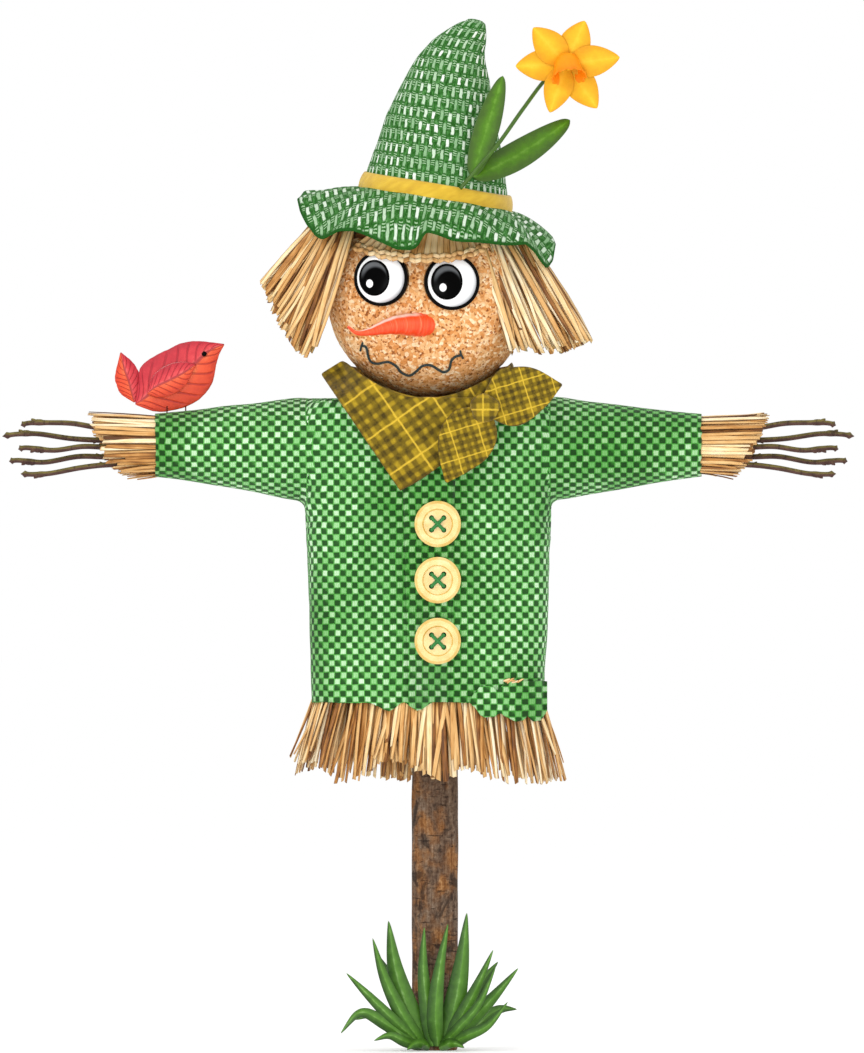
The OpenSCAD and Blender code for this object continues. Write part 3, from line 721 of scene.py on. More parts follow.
def surface(down, across, place):
    """The points and uvs of a grid of down x across cells; place(i, j) gives a point and its uv."""
    rows, uvs = [], []
    for i in range(down + 1):
        row = [place(i, j) for j in range(across + 1)]
        rows.append([point for point, _ in row])
        uvs.append([uv for _, uv in row])
    return rows, uvs


def spoke(angle):
    """The level direction at an angle from +X."""
    return Vector((math.cos(angle), math.sin(angle), 0))


def frames_along(path, hint):
    """For each point of a path: the point, and two directions square to the path."""
    found = []
    last = len(path) - 1
    for i, point in enumerate(path):
        tangent = (path[min(i + 1, last)] - path[max(i - 1, 0)]).normalized()
        side = tangent.cross(hint)
        if side.length < 1e-3:
            side = tangent.cross(Vector((0.3, 0.5, 0.8)))
        side.normalize()
        found.append((point, side, side.cross(tangent).normalized()))
    return found


def add_tube(batch, path, radii, hint=Vector((0, 1, 0)), flat=1.0, sides=10, tone=0.5, slant=0.0):
    """A closed tube along path; flat is its thickness over its width, slant cuts its far end."""
    rows, uvs = [], []
    length = 0.0
    frames = frames_along(path, hint)
    for i, (point, side, up) in enumerate(frames):
        if i:
            length += (path[i] - path[i - 1]).length
        row, uv_row = [], []
        for k in range(sides + 1):
            angle = TAU * k / sides
            across = math.cos(angle)
            offset = side * (radii[i] * across) + up * (radii[i] * flat * math.sin(angle))
            if slant and i == len(path) - 1:
                offset += (path[-1] - path[-2]).normalized() * slant * across
            row.append(point + offset)
            uv_row.append((k / sides, length))
        rows.append(row)
        uvs.append(uv_row)
    batch.closed(rows, uvs, tone)


def bend(points, count):
    """A smooth curve through a few points, as count + 1 points."""
    points = [Vector(p) for p in points]
    padded = [2 * points[0] - points[1], *points, 2 * points[-1] - points[-2]]
    spans = len(points) - 1
    curve = []
    for i in range(count + 1):
        t = min(i / count * spans, spans - 1e-9)
        k = int(t)
        t -= k
        a, b, c, d = padded[k:k + 4]
        curve.append(0.5 * (2 * b + (c - a) * t + (2 * a - 5 * b + 4 * c - d) * t * t
                            + (3 * b - a - 3 * c + d) * t ** 3))
    return curve


def table(value, pairs):
    """Straight-line interpolation in a short list of (place, value)."""
    return float(np.interp(value, [p[0] for p in pairs], [p[1] for p in pairs]))


def ripple(point, size, seed=0.0):
    """Smooth noise from -1 to 1 at a point, with features of about size millimetres."""
    return noise.noise(Vector(point) / size + Vector((seed, 7.1 * seed, 3.3)))


def apply_modifiers(piece):
    """Turns what the modifiers make into the piece's own mesh."""
    graph = bpy.context.evaluated_depsgraph_get()
    mesh = bpy.data.meshes.new_from_object(piece.evaluated_get(graph), depsgraph=graph)
    old = piece.data
    piece.modifiers.clear()
    piece.data = mesh
    bpy.data.meshes.remove(old)


def thicken(piece, thickness, offset=0.0, levels=1):
    solid = piece.modifiers.new("thickness", "SOLIDIFY")
    solid.thickness = thickness * MM
    solid.offset = offset
    if levels:
        smooth = piece.modifiers.new("smooth", "SUBSURF")
        smooth.levels = smooth.render_levels = levels
    apply_modifiers(piece)


def head_y(distance):
    """Depth of the head's front surface at a distance from its middle, seen from the front."""
    part = max(0.0, 1 - min(distance / head_r, 1) ** head_power)
    return -head_depth * part ** (1 / head_power)


# ---- stake ----

def make_stake():
    around = 72
    spike_r = 15.0
    stations = [(stake_low.z, 2.0), (stake_low.z + 6, 4.0), (stake_low.z + 22, 9.5),
                (stake_low.z + 40, spike_r)]
    stations += [(z, spike_r) for z in range(int(stake_low.z + 50), -4, 10)]
    stations += [(-2, spike_r), (1, stake_r - 0.4)]
    stations += [(z, stake_r) for z in np.arange(4, stake_high.z - 2, 2.5)]
    stations += [(stake_high.z - 1, stake_r - 0.5), (stake_high.z - 0.2, stake_r - 1.8)]

    def place(i, k):
        z, radius = stations[i]
        angle = TAU * k / around
        out = spoke(angle)
        point = out * radius + Vector((0, 0, z))
        if z > 0:
            rough = 0.55 * ripple((point.x, point.y, z * 0.3), 9) - 0.35
            rough += 0.5 * ripple((point.x, point.y, z * 0.45), 28, 2)
            knot = math.exp(-((z - 118) / 14) ** 2 - ((angle - 4.4) / 0.35) ** 2)
            knot += math.exp(-((z - 176) / 9) ** 2 - ((angle - 5.3) / 0.3) ** 2)
            point += out * (min(rough, 0.3) - 0.6 * knot)
        return point, (k / around, z)

    batch = Batch()
    batch.closed(*surface(len(stations) - 1, around, place), 0.5)
    batch.piece("stake_pole", bark, "figure", "bark_wood", ["stake"])


# ---- coat ----

def plan_half(z):
    """Half of the coat's width at a height: it narrows a little to the hem."""
    return 87.5 + 5.2 * min(1.0, max(0.0, (z - hem_z) / 150))


def plan_point(angle, half_x, half_y):
    """A point on a rectangle with round corners, with the angle as seen from its middle."""
    c, s = math.cos(angle), math.sin(angle)
    sum_of_powers = abs(c / half_x) ** CORNER_POWER + abs(s / half_y) ** CORNER_POWER
    reach = sum_of_powers ** (-1 / CORNER_POWER)
    return reach * c, reach * s


def hem_height(x, y):
    """The frayed hem's height above the ground; the front has two lobes beside the patch."""
    wave = 2.2 * ripple((x, y, 0), 13, 5) + 1.6 * ripple((x, y, 0), 5, 6)
    if y > 0:
        return hem_z + 5 + wave
    shape = [(-100, 261), (-49, 261), (-42, 257.5), (-35, 254.5), (-29, 258), (-23.6, 262), (-18, 257.5),
             (-12.2, 254.7), (-7, 258), (-2.2, 261.4), (26, 261), (88, 260)]
    return table(x, shape) + 0.35 * wave


def make_coat():
    """The jacket as one soft shell: body and sleeves are fused, smoothed, creased and cut open."""
    batch = Batch()
    around = 96
    cloth_t = 2.4
    top = coat_high.z - 0.8
    heights = [hem_z - 16, hem_z, hem_z + 40, hem_z + 80, hem_z + 120, 400, 415, 440, 460, 474]
    rings = [(z, plan_half(z), COAT_HALF_DEPTH) for z in heights]
    rings += [(482, 91.5, 47), (486.5, 89, 44), (top, 84, 38), (top + 0.4, 60, 20)]
    rows = [[(figure_x + x, y, z) for x, y in (plan_point(TAU * k / around, a, b)
            for k in range(around + 1))] for z, a, b in rings]
    blank = [[(0, 0)] * (around + 1)] * len(rows)
    batch.closed(rows, blank, 0.5)
    end = sleeve_reach + 12
    profile = [(40, 451, 34, 36), (84, 451, 38.0, 39.2), (98, 450.8, 37.8, 39), (120, 451.4, 35, 35.8),
               (150, 452.3, 31, 31.4), (180, 453, 26.8, 27.2), (sleeve_reach, 453.6, 23.6, 24.2),
               (end, 453.8, 22.6, 23.2)]
    for side in (-1, 1):
        rows = []
        for reach, z, radius_y, radius_z in profile:
            rows.append([(figure_x + side * reach, radius_y * math.cos(TAU * k / 48),
                          z + radius_z * math.sin(TAU * k / 48)) for k in range(49)])
        start = batch.grid(rows, [[(0, 0)] * 49] * len(rows), 0.5, flip=side > 0)
        batch.cap(start, 49, 0, side > 0)
        batch.cap(start, 49, len(rows) - 1, side < 0)
    mesh = batch.mesh("coat_cloth")
    coat = add_object("coat_cloth", mesh, check, "figure",
                      ["coat_body", "left_sleeve", "right_sleeve"])
    fuse = coat.modifiers.new("fuse", "REMESH")
    fuse.mode = "VOXEL"
    fuse.voxel_size = 3.0 * MM
    soften = coat.modifiers.new("soften", "SMOOTH")
    soften.iterations = 6
    apply_modifiers(coat)
    crease_and_cut(coat, cloth_t)


def crease_and_cut(coat, cloth_t):
    """Folds the fused coat, cuts its hem, cuffs and neck open, lays its uv out and gives it thickness."""
    edit = bmesh.new()
    edit.from_mesh(coat.data)
    edit.normal_update()
    cuff_at = sleeve_reach - 0.5
    neck_r = 50.0
    moves = []
    for vert in edit.verts:
        x, y, z = vert.co / MM
        off = abs(x - figure_x)
        amount = 1.5 * ripple((x, y * 0.6, z * 0.55), 46, 1) + 0.5 * ripple((x, y, z), 15, 3)
        if off > 92:
            fold = math.sin((off - 92) / 7.5 + 1.6 * ripple((x, y, z), 30, 4))
            amount = 0.8 * ripple((x * 0.7, y, z), 24, 2) + 0.55 * fold * math.exp(-(off - 92) / 40)
        else:
            gather = math.exp(-((off - 92) / 16) ** 2 - ((z - 405) / 22) ** 2)
            amount += 1.3 * gather * math.sin((z + off * 0.8) / 4.2)
            amount += 0.9 * math.sin(x / 9.5 + 2 * ripple((x, y, z), 60, 8)) * math.exp(-(z - hem_z) / 45)
        moves.append((vert, vert.normal * (amount - 0.6) * MM))
    for vert, move in moves:
        vert.co += move

    def outside(point):
        x, y, z = point / MM
        if z < hem_height(x, y) and abs(x - figure_x) < 98:
            return True
        ragged = 1.3 * ripple((x, y, z), 4, 9)
        if abs(x - figure_x) > cuff_at + ragged:
            return True
        return z > 470 and math.hypot(x - figure_x, y) < neck_r

    gone = [face for face in edit.faces if outside(face.calc_center_median())]
    bmesh.ops.delete(edit, geom=gone, context="FACES")
    for vert in edit.verts:
        if not vert.is_boundary:
            continue
        x, y, z = vert.co / MM
        off = abs(x - figure_x)
        if z > 470 and off < 70:
            away = Vector((x - figure_x, y, 0)).normalized() * neck_r
            vert.co = Vector((figure_x + away.x, away.y, z)) * MM
        elif off > cuff_at - 8:
            side = math.copysign(1, x - figure_x)
            vert.co.x = (figure_x + side * (cuff_at + 1.2 * ripple((x, y, z), 3.5, 9))) * MM
        else:
            vert.co.z = hem_height(x, y) * MM
    bmesh.ops.smooth_vert(edit, verts=[v for v in edit.verts if not v.is_boundary], factor=0.3,
                          use_axis_x=True, use_axis_y=True, use_axis_z=True)
    edit.normal_update()
    layer = edit.loops.layers.uv.new("UVMap")
    corner_r = 46.0
    for face in edit.faces:
        centre = face.calc_center_median() / MM
        sleeve = abs(centre.x - figure_x) > 90 and centre.z > 405
        flat_top = face.normal.z > 0.8 and not sleeve
        for loop in face.loops:
            x, y, z = loop.vert.co / MM
            dx = x - figure_x
            if sleeve:
                angle = math.atan2(z - arm_z, -y)
                radius = math.hypot(z - arm_z, y)
                if centre.y > 0 and angle < 0:
                    angle += TAU
                pair = (dx, arm_z + angle * radius * 0.97)
            elif flat_top:
                pair = (dx, coat_high.z + 45 + y)
            else:
                straight = 93.5 - corner_r
                turn = math.atan2(max(abs(dx) - straight, 0.0), max(abs(y) - 4.0, 0.001))
                around = min(abs(dx), straight) + turn * corner_r
                if y > 0:
                    around = 2 * (straight + corner_r * math.pi / 2 + 4.0) - around
                pair = (math.copysign(around, dx), z)
            loop[layer].uv = pair
    edit.to_mesh(coat.data)
    edit.free()
    coat.data.shade_smooth()
    solid = coat.modifiers.new("cloth", "SOLIDIFY")
    solid.thickness = cloth_t * MM
    solid.offset = -1
    apply_modifiers(coat)


# ---- straw ----

def add_stalk(batch, rng, root, tip, width, hint, tone, bow=None):
    """One stalk from root to tip, bowed a little, wider in its middle, cut aslant."""
    steps = 5
    root, tip = Vector(root), Vector(tip)
    span = (tip - root).length
    sag = bow if bow is not None else Vector([rng.uniform(-1, 1) * span * 0.035 for _ in range(3)])
    path, radii = [], []
    for i in range(steps + 1):
        t = i / steps
        path.append(root.lerp(tip, t) + sag * 4 * t * (1 - t))
        radii.append(width / 2 * (0.85 + 0.25 * math.sin(math.pi * min(1, t * 0.9 + 0.1))))
    radii[-1] *= rng.uniform(0.85, 1.05)
    add_tube(batch, path, radii, hint, flat=rng.uniform(0.28, 0.5), sides=6, tone=tone,
             slant=rng.uniform(-1.2, 1.2))


def pick_tone_and_shade(rng, depth=0.0):
    """Most stalks are gold, some pale, some dark; those further in are darker with painted shade."""
    tone = rng.choice((0.14, 0.26, 0.40, 0.50, 0.58, 0.64, 0.70, 0.78, 0.88, 0.96))
    # Painted shade: each unit of depth darkens the tone by 0.2.
    return max(0.02, min(1.0, tone + rng.uniform(-0.07, 0.07) - 0.2 * depth))


def make_skirt():
    rng = random.Random(11)
    batch = Batch()
    contour = [(-110, 220), (-104, 217.5), (-85.6, 215), (-75, 202), (-58, 204.5), (-39.7, 216),
               (-24.4, 218), (-3, 206), (13.9, 204.5), (18.4, 214), (36.8, 207), (50.6, 203.7),
               (81.2, 199.9), (90.4, 205), (98, 202), (106, 208)]
    layers = ((0.0, 138, 0.9), (0.12, 128, 0.92), (0.26, 108, 0.95), (0.5, 80, 0.9), (0.8, 44, 0.8))
    for depth, count, reach in layers:
        for k in range(count):
            angle = TAU * (k + rng.uniform(-0.4, 0.4)) / count
            inset = 4.5 + 24 * depth
            x, y = plan_point(angle, plan_half(hem_z) - inset, COAT_HALF_DEPTH - inset)
            flare = 1.17 + rng.uniform(-0.03, 0.035)
            crossing = rng.random() < 0.12
            lean = rng.uniform(-13, 13) if crossing else rng.uniform(-4.5, 4.5)
            tip_x = figure_x + x * flare + lean
            tip_y = y * (flare + 0.03) + rng.uniform(-2.5, 2.5)
            end = table(tip_x, contour) if y < 0 else 208 + 5 * math.sin(tip_x / 17)
            end += rng.uniform(-1, 1) * 3.0 + 5 * depth
            if rng.random() < 0.12:
                end += rng.uniform(5, 20)
            out = Vector((x, y, 0)).normalized()
            root = Vector((figure_x + x, y, hem_z + 12 + rng.uniform(-3, 6)))
            tip = Vector((tip_x, tip_y, max(end, 200.5)))
            # Painted shade: the inner layers of stalks are darker.
            add_stalk(batch, rng, root, tip, rng.uniform(2.8, 5.8) * reach, out,
                      pick_tone_and_shade(rng, depth), out * rng.uniform(-1.2, 1.4))
    batch.piece("straw_skirt_stalks", straw, "figure", "straw", ["straw_skirt", "straw_stuffing"])


def make_cuff(side, name, node):
    rng = random.Random(21 if side < 0 else 22)
    batch = Batch()
    ends = [(-24, 229), (-10, 241), (10, 250), (25, 254)]
    for depth, count in ((0.0, 52), (0.15, 44), (0.35, 34), (0.6, 20), (0.9, 10)):
        for k in range(count):
            angle = TAU * (k + rng.uniform(-0.4, 0.4)) / count
            start_r = 20.6 * (1 - 0.9 * depth)
            end_r = 24.0 * (1 - 0.85 * depth)
            wave = Vector((0, math.cos(angle), math.sin(angle)))
            root = Vector((figure_x + side * (sleeve_reach - 15), 0, CUFF_Z)) + wave * start_r
            height = wave.z * end_r
            reach = table(height, ends) + rng.uniform(-5, 2)
            if rng.random() < 0.2:
                reach -= rng.uniform(4, 14)
            tip = Vector((figure_x + side * reach, 0, CUFF_Z)) + wave * end_r
            tip += Vector((0, rng.uniform(-2, 2), rng.uniform(-2, 2)))
            # The 0.5 gives the cuffs a darker tone; depth adds painted shade further in.
            add_stalk(batch, rng, root, tip, rng.uniform(2.2, 4.0), wave, pick_tone_and_shade(rng, 0.5 + depth),
                      wave * rng.uniform(-1.5, 0.8))
    batch.piece(name, straw, "figure", "straw", [node])


# ---- twigs ----

TWIGS = [[(0.0, -2.6), (0.34, -1.5), (0.58, 2.0), (0.76, 2.6), (0.93, 2.4), (1.0, 0.6)],
         [(0.0, -2.6), (0.3, -2.2), (0.52, -0.9), (0.75, 2.6), (0.9, 2.4), (1.0, 0.8)],
         [(0.0, 1.2), (0.3, 0.8), (0.5, 1.2), (0.72, -1.6), (0.93, 0.3), (1.0, -0.8)],
         [(0.0, 1.6), (0.3, 2.0), (0.5, 2.2), (0.74, -2.0), (0.93, -0.6), (1.0, -1.4)],
         [(0.0, 4.0), (0.3, 3.6), (0.52, 1.4), (0.76, -2.8), (0.9, -3.6), (1.0, -3.2)]]


def make_twigs():
    """Each twig's course is in TWIGS: a share of its length, and how far it lies above its middle."""
    for side, word in ((-1, "left"), (1, "right")):
        for index, course in enumerate(TWIGS):
            node = f"{word}_twig_{index + 1}"
            low, high = box_mm(node)
            rng = random.Random(100 + index + (50 if side > 0 else 0))
            tip_x, root_x = (low.x, high.x) if side < 0 else (high.x, low.x)
            outward = 1 if index < 2 else -1
            y0, z0 = (low.y + high.y) / 2, (low.z + high.z) / 2
            span = tip_x - math.copysign(0.5, tip_x) - root_x
            points = [(root_x + span * t, y0 + rng.uniform(-0.8, 0.8), z0 + rise) for t, rise in course]
            path = bend(points, 60)
            radii = []
            for i in range(61):
                t = i / 60
                radius = 2.15 - 0.35 * t + 0.35 * math.exp(-((t - 0.70) / 0.04) ** 2)
                tip_bud = 1.0 * math.exp(-((t - 0.94) / 0.035) ** 2)
                radii.append((radius + tip_bud) * min(1.0, 0.15 + 12 * (1 - t)))
            batch = Batch()
            add_tube(batch, path, radii, sides=12)
            step = math.copysign(1.0, span)
            for at, lift, size in ((42, 1.2, 2.1), (44, 1.8, 1.9), (40, 1.4, 1.6)):
                add_bud(batch, path[at], Vector((step * 1.9, 0, lift * outward)), size)
            add_bud(batch, path[14], Vector((step * 1.6, 0, -1.5 * outward)), 1.3)
            batch.piece(f"{node}_stem", twig_bark, "figure", "twig", [node])


def add_bud(batch, at, toward, radius):
    path = [at, at + toward * 0.6, at + toward * 1.2, at + toward * 1.7]
    add_tube(batch, path, [radius, radius * 1.05, radius * 0.7, radius * 0.2],
             Vector((0, 1, 0)), sides=8)


# ---- head ----

def make_head():
    rings, around = 90, 160

    def place(i, k):
        polar = math.pi * i / rings
        angle = TAU * k / around
        s, c = math.sin(polar), math.cos(polar)
        radius = head_r * s ** (2 / head_power)
        depth = math.copysign(abs(c) ** (2 / head_power), c) * head_depth
        point = Vector((radius * math.cos(angle), -depth, radius * math.sin(angle)))
        grain = 0.5 * ripple(point, 4.2, 1) + 0.25 * ripple(point, 2.1, 2) - 0.4
        point += point.normalized() * grain
        return point + head, (k, i)

    batch = Batch()
    batch.grid(*surface(rings, around, place), 0.5)
    batch.piece("cork_head", cork, "head", "cork", ["head_ball"])


def face_frame(at, turn):
    """A frame on the face at an offset from the head's middle, its +Z out of the head."""
    place = head + Vector((at[0], 0, at[1]))
    place.y = head_y(math.hypot(*at))
    return (Matrix.Translation(place) @ Matrix.Rotation(math.radians(-turn), 4, "Z")
            @ Matrix.Rotation(math.radians(90), 4, "X"))


def add_lathe(batch, matrix, profile, around=64, centre=(0, 0), squash=(1, 1)):
    """Spins (radius, height) pairs about the frame's Z axis; uv is the place in the frame."""
    def place(i, k):
        radius, height = profile[i]
        angle = TAU * k / around
        local = Vector((centre[0] + radius * squash[0] * math.cos(angle),
                        centre[1] + radius * squash[1] * math.sin(angle), height))
        return matrix @ local, (local.x - centre[0], local.y - centre[1])

    batch.grid(*surface(len(profile) - 1, around, place), 0.5)


def dome(radius, rise, base, steps=14):
    """A flat dome's profile from its middle to its rim."""
    return [(radius * math.sin(math.pi / 2 * i / steps),
             base + rise * math.cos(math.pi / 2 * i / steps)) for i in range(steps + 1)]


def make_eyes():
    outer = (box_mm("left_eye_rim")[1].z - box_mm("left_eye_rim")[0].z) / 2
    spots = {"left": ((-35, 12), 15), "right": ((17.5, 9), -8)}
    for word, (at, turn) in spots.items():
        matrix = face_frame(at, turn)
        rim = Batch()
        ring = [(outer - 1.3 + 1.3 * math.cos(a), 1.6 + 1.5 * math.sin(a))
                for a in (math.pi * i / 12 for i in range(13))]
        profile = [(outer, -4.5), (outer, 0.0), *ring, (outer - 2.6, -4.5), (outer, -4.5)]
        add_lathe(rim, matrix, profile)
        rim.piece(f"{word}_eye_ring", black, "head", "black_plastic", [f"{word}_eye_rim"])
        white = Batch()
        radius = outer - 2.3
        add_lathe(white, matrix, [*dome(radius, 3.4, 1.6, 20), (radius, -4.5), (0, -4.5)])
        white.piece(f"{word}_eye_enamel", enamel, "head", "eye_white", [f"{word}_eye_white"])
        dark = Batch()
        add_lathe(dark, matrix, [*dome(12.0, 1.9, 4.6, 16), (12.0, 1.5), (0, 1.5)],
                  centre=(-4.3, 0.3), squash=(0.99, 1.12))
        dark.piece(f"{word}_pupil_bead", pupil_black, "head", "black_plastic", [f"{word}_pupil"])


def make_nose():
    """The carrot, as places along its middle from the head's middle, each with its radius."""
    course = [(-1.5, -50, -22.9, 7.4), (-2.7, -51.5, -22.9, 8.4), (-7, -54, -22.7, 8.8),
              (-11.9, -57.5, -22.6, 8.6), (-24.2, -65.5, -23.1, 7.0), (-34.9, -72.5, -25.5, 5.0),
              (-44.1, -79, -28.3, 2.9), (-53.2, -85, -29.1, 1.7), (-60, -88.5, -24.5, 0.9)]
    count = 64
    path = [head + p for p in bend([(x, y, z) for x, y, z, _ in course], count)]
    sizes = bend([(radius, 0, 0) for _, _, _, radius in course], count)
    radii = [size.x * (1 - 0.03 * math.sin(i * 1.1)) for i, size in enumerate(sizes)]
    batch = Batch()
    add_tube(batch, path, radii, Vector((0, 0.3, 1)), sides=28)
    batch.piece("carrot", carrot, "head", "carrot", ["carrot_nose"])


MOUTH = [(-49.4, -38.2), (-46.4, -39.8), (-44.8, -46.7), (-42.5, -50.5), (-37.9, -51.7),
         (-30.3, -50.5), (-24.2, -53.5), (-20.3, -58.1), (-14.2, -60.7), (-8.9, -57.4),
         (-4.3, -53.5), (1.9, -53.1), (8, -56.6), (11.8, -58.1), (15.6, -55.8), (17.2, -49.7),
         (20.2, -46.7), (24.8, -45.4)]


def make_mouth():
    batch = Batch()

    def line(points, count, radius):
        path = [Vector((head.x + p.x, head_y(math.hypot(p.x, p.y)) - 0.5, head.z + p.y))
                for p in bend([(x, z, 0) for x, z in points], count)]
        add_tube(batch, path, [radius] * len(path), sides=8)

    line(MOUTH, 110, 0.95)
    line([(-50.9, -42.1), (-50.2, -39), (-49.1, -36)], 8, 0.8)
    line([(23.8, -42.1), (24.6, -45), (26, -47.9)], 8, 0.8)
    batch.piece("mouth_stitch", mouth_dark, "head", "dark_thread", ["mouth_thread"])


# ---- hair ----

def make_hair():
    make_side_hair("hair_left_stalks", "hair_left", 31,
                   [(0, -88, 620), (1, -62, 611)],
                   [(0, -131, 575), (0.2, -124, 558), (0.45, -116, 541), (0.7, -107, 527),
                    (0.9, -97.3, 517), (1, -90, 524)])
    make_side_hair("hair_right_stalks", "hair_right", 32,
                   [(0, 68, 607), (1, 31, 604)],
                   [(0, 118, 531), (0.25, 106, 526), (0.5, 94, 522), (0.75, 73, 520), (1, 57, 522.4)])
    make_back_hair()


def make_side_hair(name, node, seed, roots, tips):
    """A bundle beside the face; it starts under the brim and covers the head's side."""
    rng = random.Random(seed)
    batch = Batch()

    def lookup(rows, s):
        return (table(s, [(r[0], r[1]) for r in rows]), table(s, [(r[0], r[2]) for r in rows]))

    layers = [(0.0, 26), (0.05, 26), (0.12, 24), (0.24, 20), (0.4, 18), (0.58, 17), (0.74, 17),
              (0.88, 17), (1.0, 18)]
    for depth, count in layers:
        for k in range(count):
            s = min(1.0, max(0.0, (k + 0.5 + rng.uniform(-0.45, 0.45)) / count))
            root_x, root_z = lookup(roots, s)
            tip_x, tip_z = lookup(tips, min(1.0, max(0.0, s + rng.uniform(-0.09, 0.09))))
            front = -26 - 22 * s
            y = front + (34 - front) * depth
            if 0.15 < depth < 0.95 and s > 0.55:
                s_inner = 0.5 * rng.random()
                root_x, root_z = lookup(roots, s_inner)
                tip_x, tip_z = lookup(tips, s_inner)
            short = rng.uniform(0.0, 0.10) + (rng.uniform(0.1, 0.35) if rng.random() < 0.12 else 0)
            root = Vector((root_x + rng.uniform(-2, 2), y * 0.92, root_z + 3))
            tip = Vector((tip_x, y * 1.02 + rng.uniform(-3, 2), tip_z)).lerp(root, short)
            # Painted shade: stalks under the outer layer are darker, most in the middle layers.
            inner = 0.35 * (1 - abs(depth * 2 - 1)) + 0.15 * (depth > 0.1)
            add_stalk(batch, rng, root, tip, rng.uniform(2.3, 4.2), Vector((0, -1, 0)),
                      pick_tone_and_shade(rng, inner))
    batch.piece(name, straw, "head", "straw", [node])


def make_back_hair():
    rng = random.Random(33)
    batch = Batch()
    low = box_mm("hair_back")[0]
    for depth, count in ((0.0, 30), (0.3, 28), (0.6, 26), (0.9, 22)):
        for k in range(count):
            s = (k + 0.5 + rng.uniform(-0.4, 0.4)) / count
            angle = math.pi * (0.04 + 0.92 * s)
            out = spoke(angle)
            root = Vector((head.x + 52 * out.x, 16 + (44 - 6 * depth) * out.y, 611 + rng.uniform(-2, 2)))
            tip = Vector((head.x + (70 - 8 * depth) * out.x + rng.uniform(-3, 3),
                          18 + (52 - 9 * depth) * out.y, low.z + 6 + rng.uniform(-5, 8)))
            if abs(out.x) > 0.8:
                tip.z += 14 * (abs(out.x) - 0.8) / 0.2
            # Painted shade: the inner layers are darker.
            add_stalk(batch, rng, root, tip, rng.uniform(3.6, 6.0), out, pick_tone_and_shade(rng, depth * 0.6),
                      out * 5)
    # The straw that the hat sits on: short stalks that radiate from the head's top.
    axis = hat_axis.normalized()
    top = hat_middle - axis * 9
    for ring, (radius, count) in enumerate(((46, 44), (30, 30), (14, 14))):
        for k in range(count):
            angle = TAU * (k + rng.uniform(-0.3, 0.3)) / count
            out = spoke(angle)
            out -= axis * out.dot(axis)
            root = top + out * (radius - 14) + axis * (2.5 + 1.2 * ring)
            tip = top + out * (radius + 16) - axis * (11 - 4 * ring)
            # Painted shade: the straw under the hat is a little darker.
            add_stalk(batch, rng, root, tip, rng.uniform(4, 6.5), axis, pick_tone_and_shade(rng, 0.3))
    batch.piece("hair_back_stalks", straw, "head", "straw", ["hair_back"])


def make_fringe():
    """Flat raffia over the forehead: pleats that fan out, over a lower edge plaited of short bits."""
    rng = random.Random(34)
    batch = Batch()
    lower = [(-62.8, 599.7), (-50.6, 595.9), (-39.9, 592.5), (-23, 590), (-9.3, 589.4), (10.6, 590),
             (25.9, 593.6), (35, 597), (42.8, 599.7)]

    def on_head(x, z, lift):
        """A point in front of the head; towards the plait's lower edge it also clears the eyes."""
        clear = 6.0 * min(1.0, max(0.0, (606 - z) / 9))
        return Vector((x, head_y(math.hypot(x - head.x, z - head.z)) - lift - clear, z))

    count = 19
    for k in range(count):
        s = (k + 0.5) / count
        x = -60 + 97 * s
        bottom = table(x, lower) + 4.0
        crown_x = x + (6 - x) * 0.30
        path = [on_head(crown_x + (x - crown_x) * i / 6, 617 + (bottom - 617) * i / 6, 2.3)
                for i in range(7)]
        add_tube(batch, path, [2.1 + 0.75 * i / 6 for i in range(7)], Vector((0, -1, 0)), flat=0.34,
                 sides=8, tone=rng.uniform(0.25, 0.85), slant=rng.uniform(-1, 1))
    under = [on_head(-60 + 97 * i / 40, 611, 0.9) for i in range(41)]
    add_tube(batch, under, [9.5] * 41, Vector((0, -1, 0)), flat=0.08, sides=8, tone=0.02)
    for row, (offset, number) in enumerate(((1.7, 23), (4.9, 22))):
        for k in range(number):
            x = -61 + 99 * (k + 0.5) / number + (1.1 if row else -1.1)
            slope = (table(x + 3, lower) - table(x - 3, lower)) / 6
            tilt = math.atan(slope) + (0.42 if (k + row) % 2 else -0.42)
            step = Vector((math.cos(tilt), 0, math.sin(tilt))) * 2.5
            z = table(x, lower) + offset
            path = [on_head(x - step.x, z - step.z, 4.3), on_head(x, z, 4.9),
                    on_head(x + step.x, z + step.z, 4.3)]
            add_tube(batch, path, [1.75, 1.85, 1.75], Vector((0, -1, 0)), flat=0.4, sides=8,
                     tone=rng.uniform(0.3, 0.95))
    batch.piece("hair_fringe_plait", raffia, "head", "braided_straw", ["hair_fringe"])


# ---- hat ----

hat_matrix = Matrix.Translation(hat_middle) @ Matrix.Rotation(hat_lean, 4, "Y")
# The crown at each height along its axis: half of its width, and how far its middle is off
CROWN = [(-7, 56.0, 0.0), (3, 54.2, -0.4), (12, 52.2, -0.9), (25, 49.2, -1.75), (38, 45.8, -2.6),
         (50, 42.5, -3.5), (64, 38.2, -4.1), (78, 33.5, -4.5), (88, 30.0, -4.4), (98, 26.0, -4.0),
         (107, 22.0, -2.6), (114.5, 18.8, -0.5), (122.7, 14.0, 2.75), (128.2, 10.1, 5.5),
         (130.2, 7.6, 7.4)]
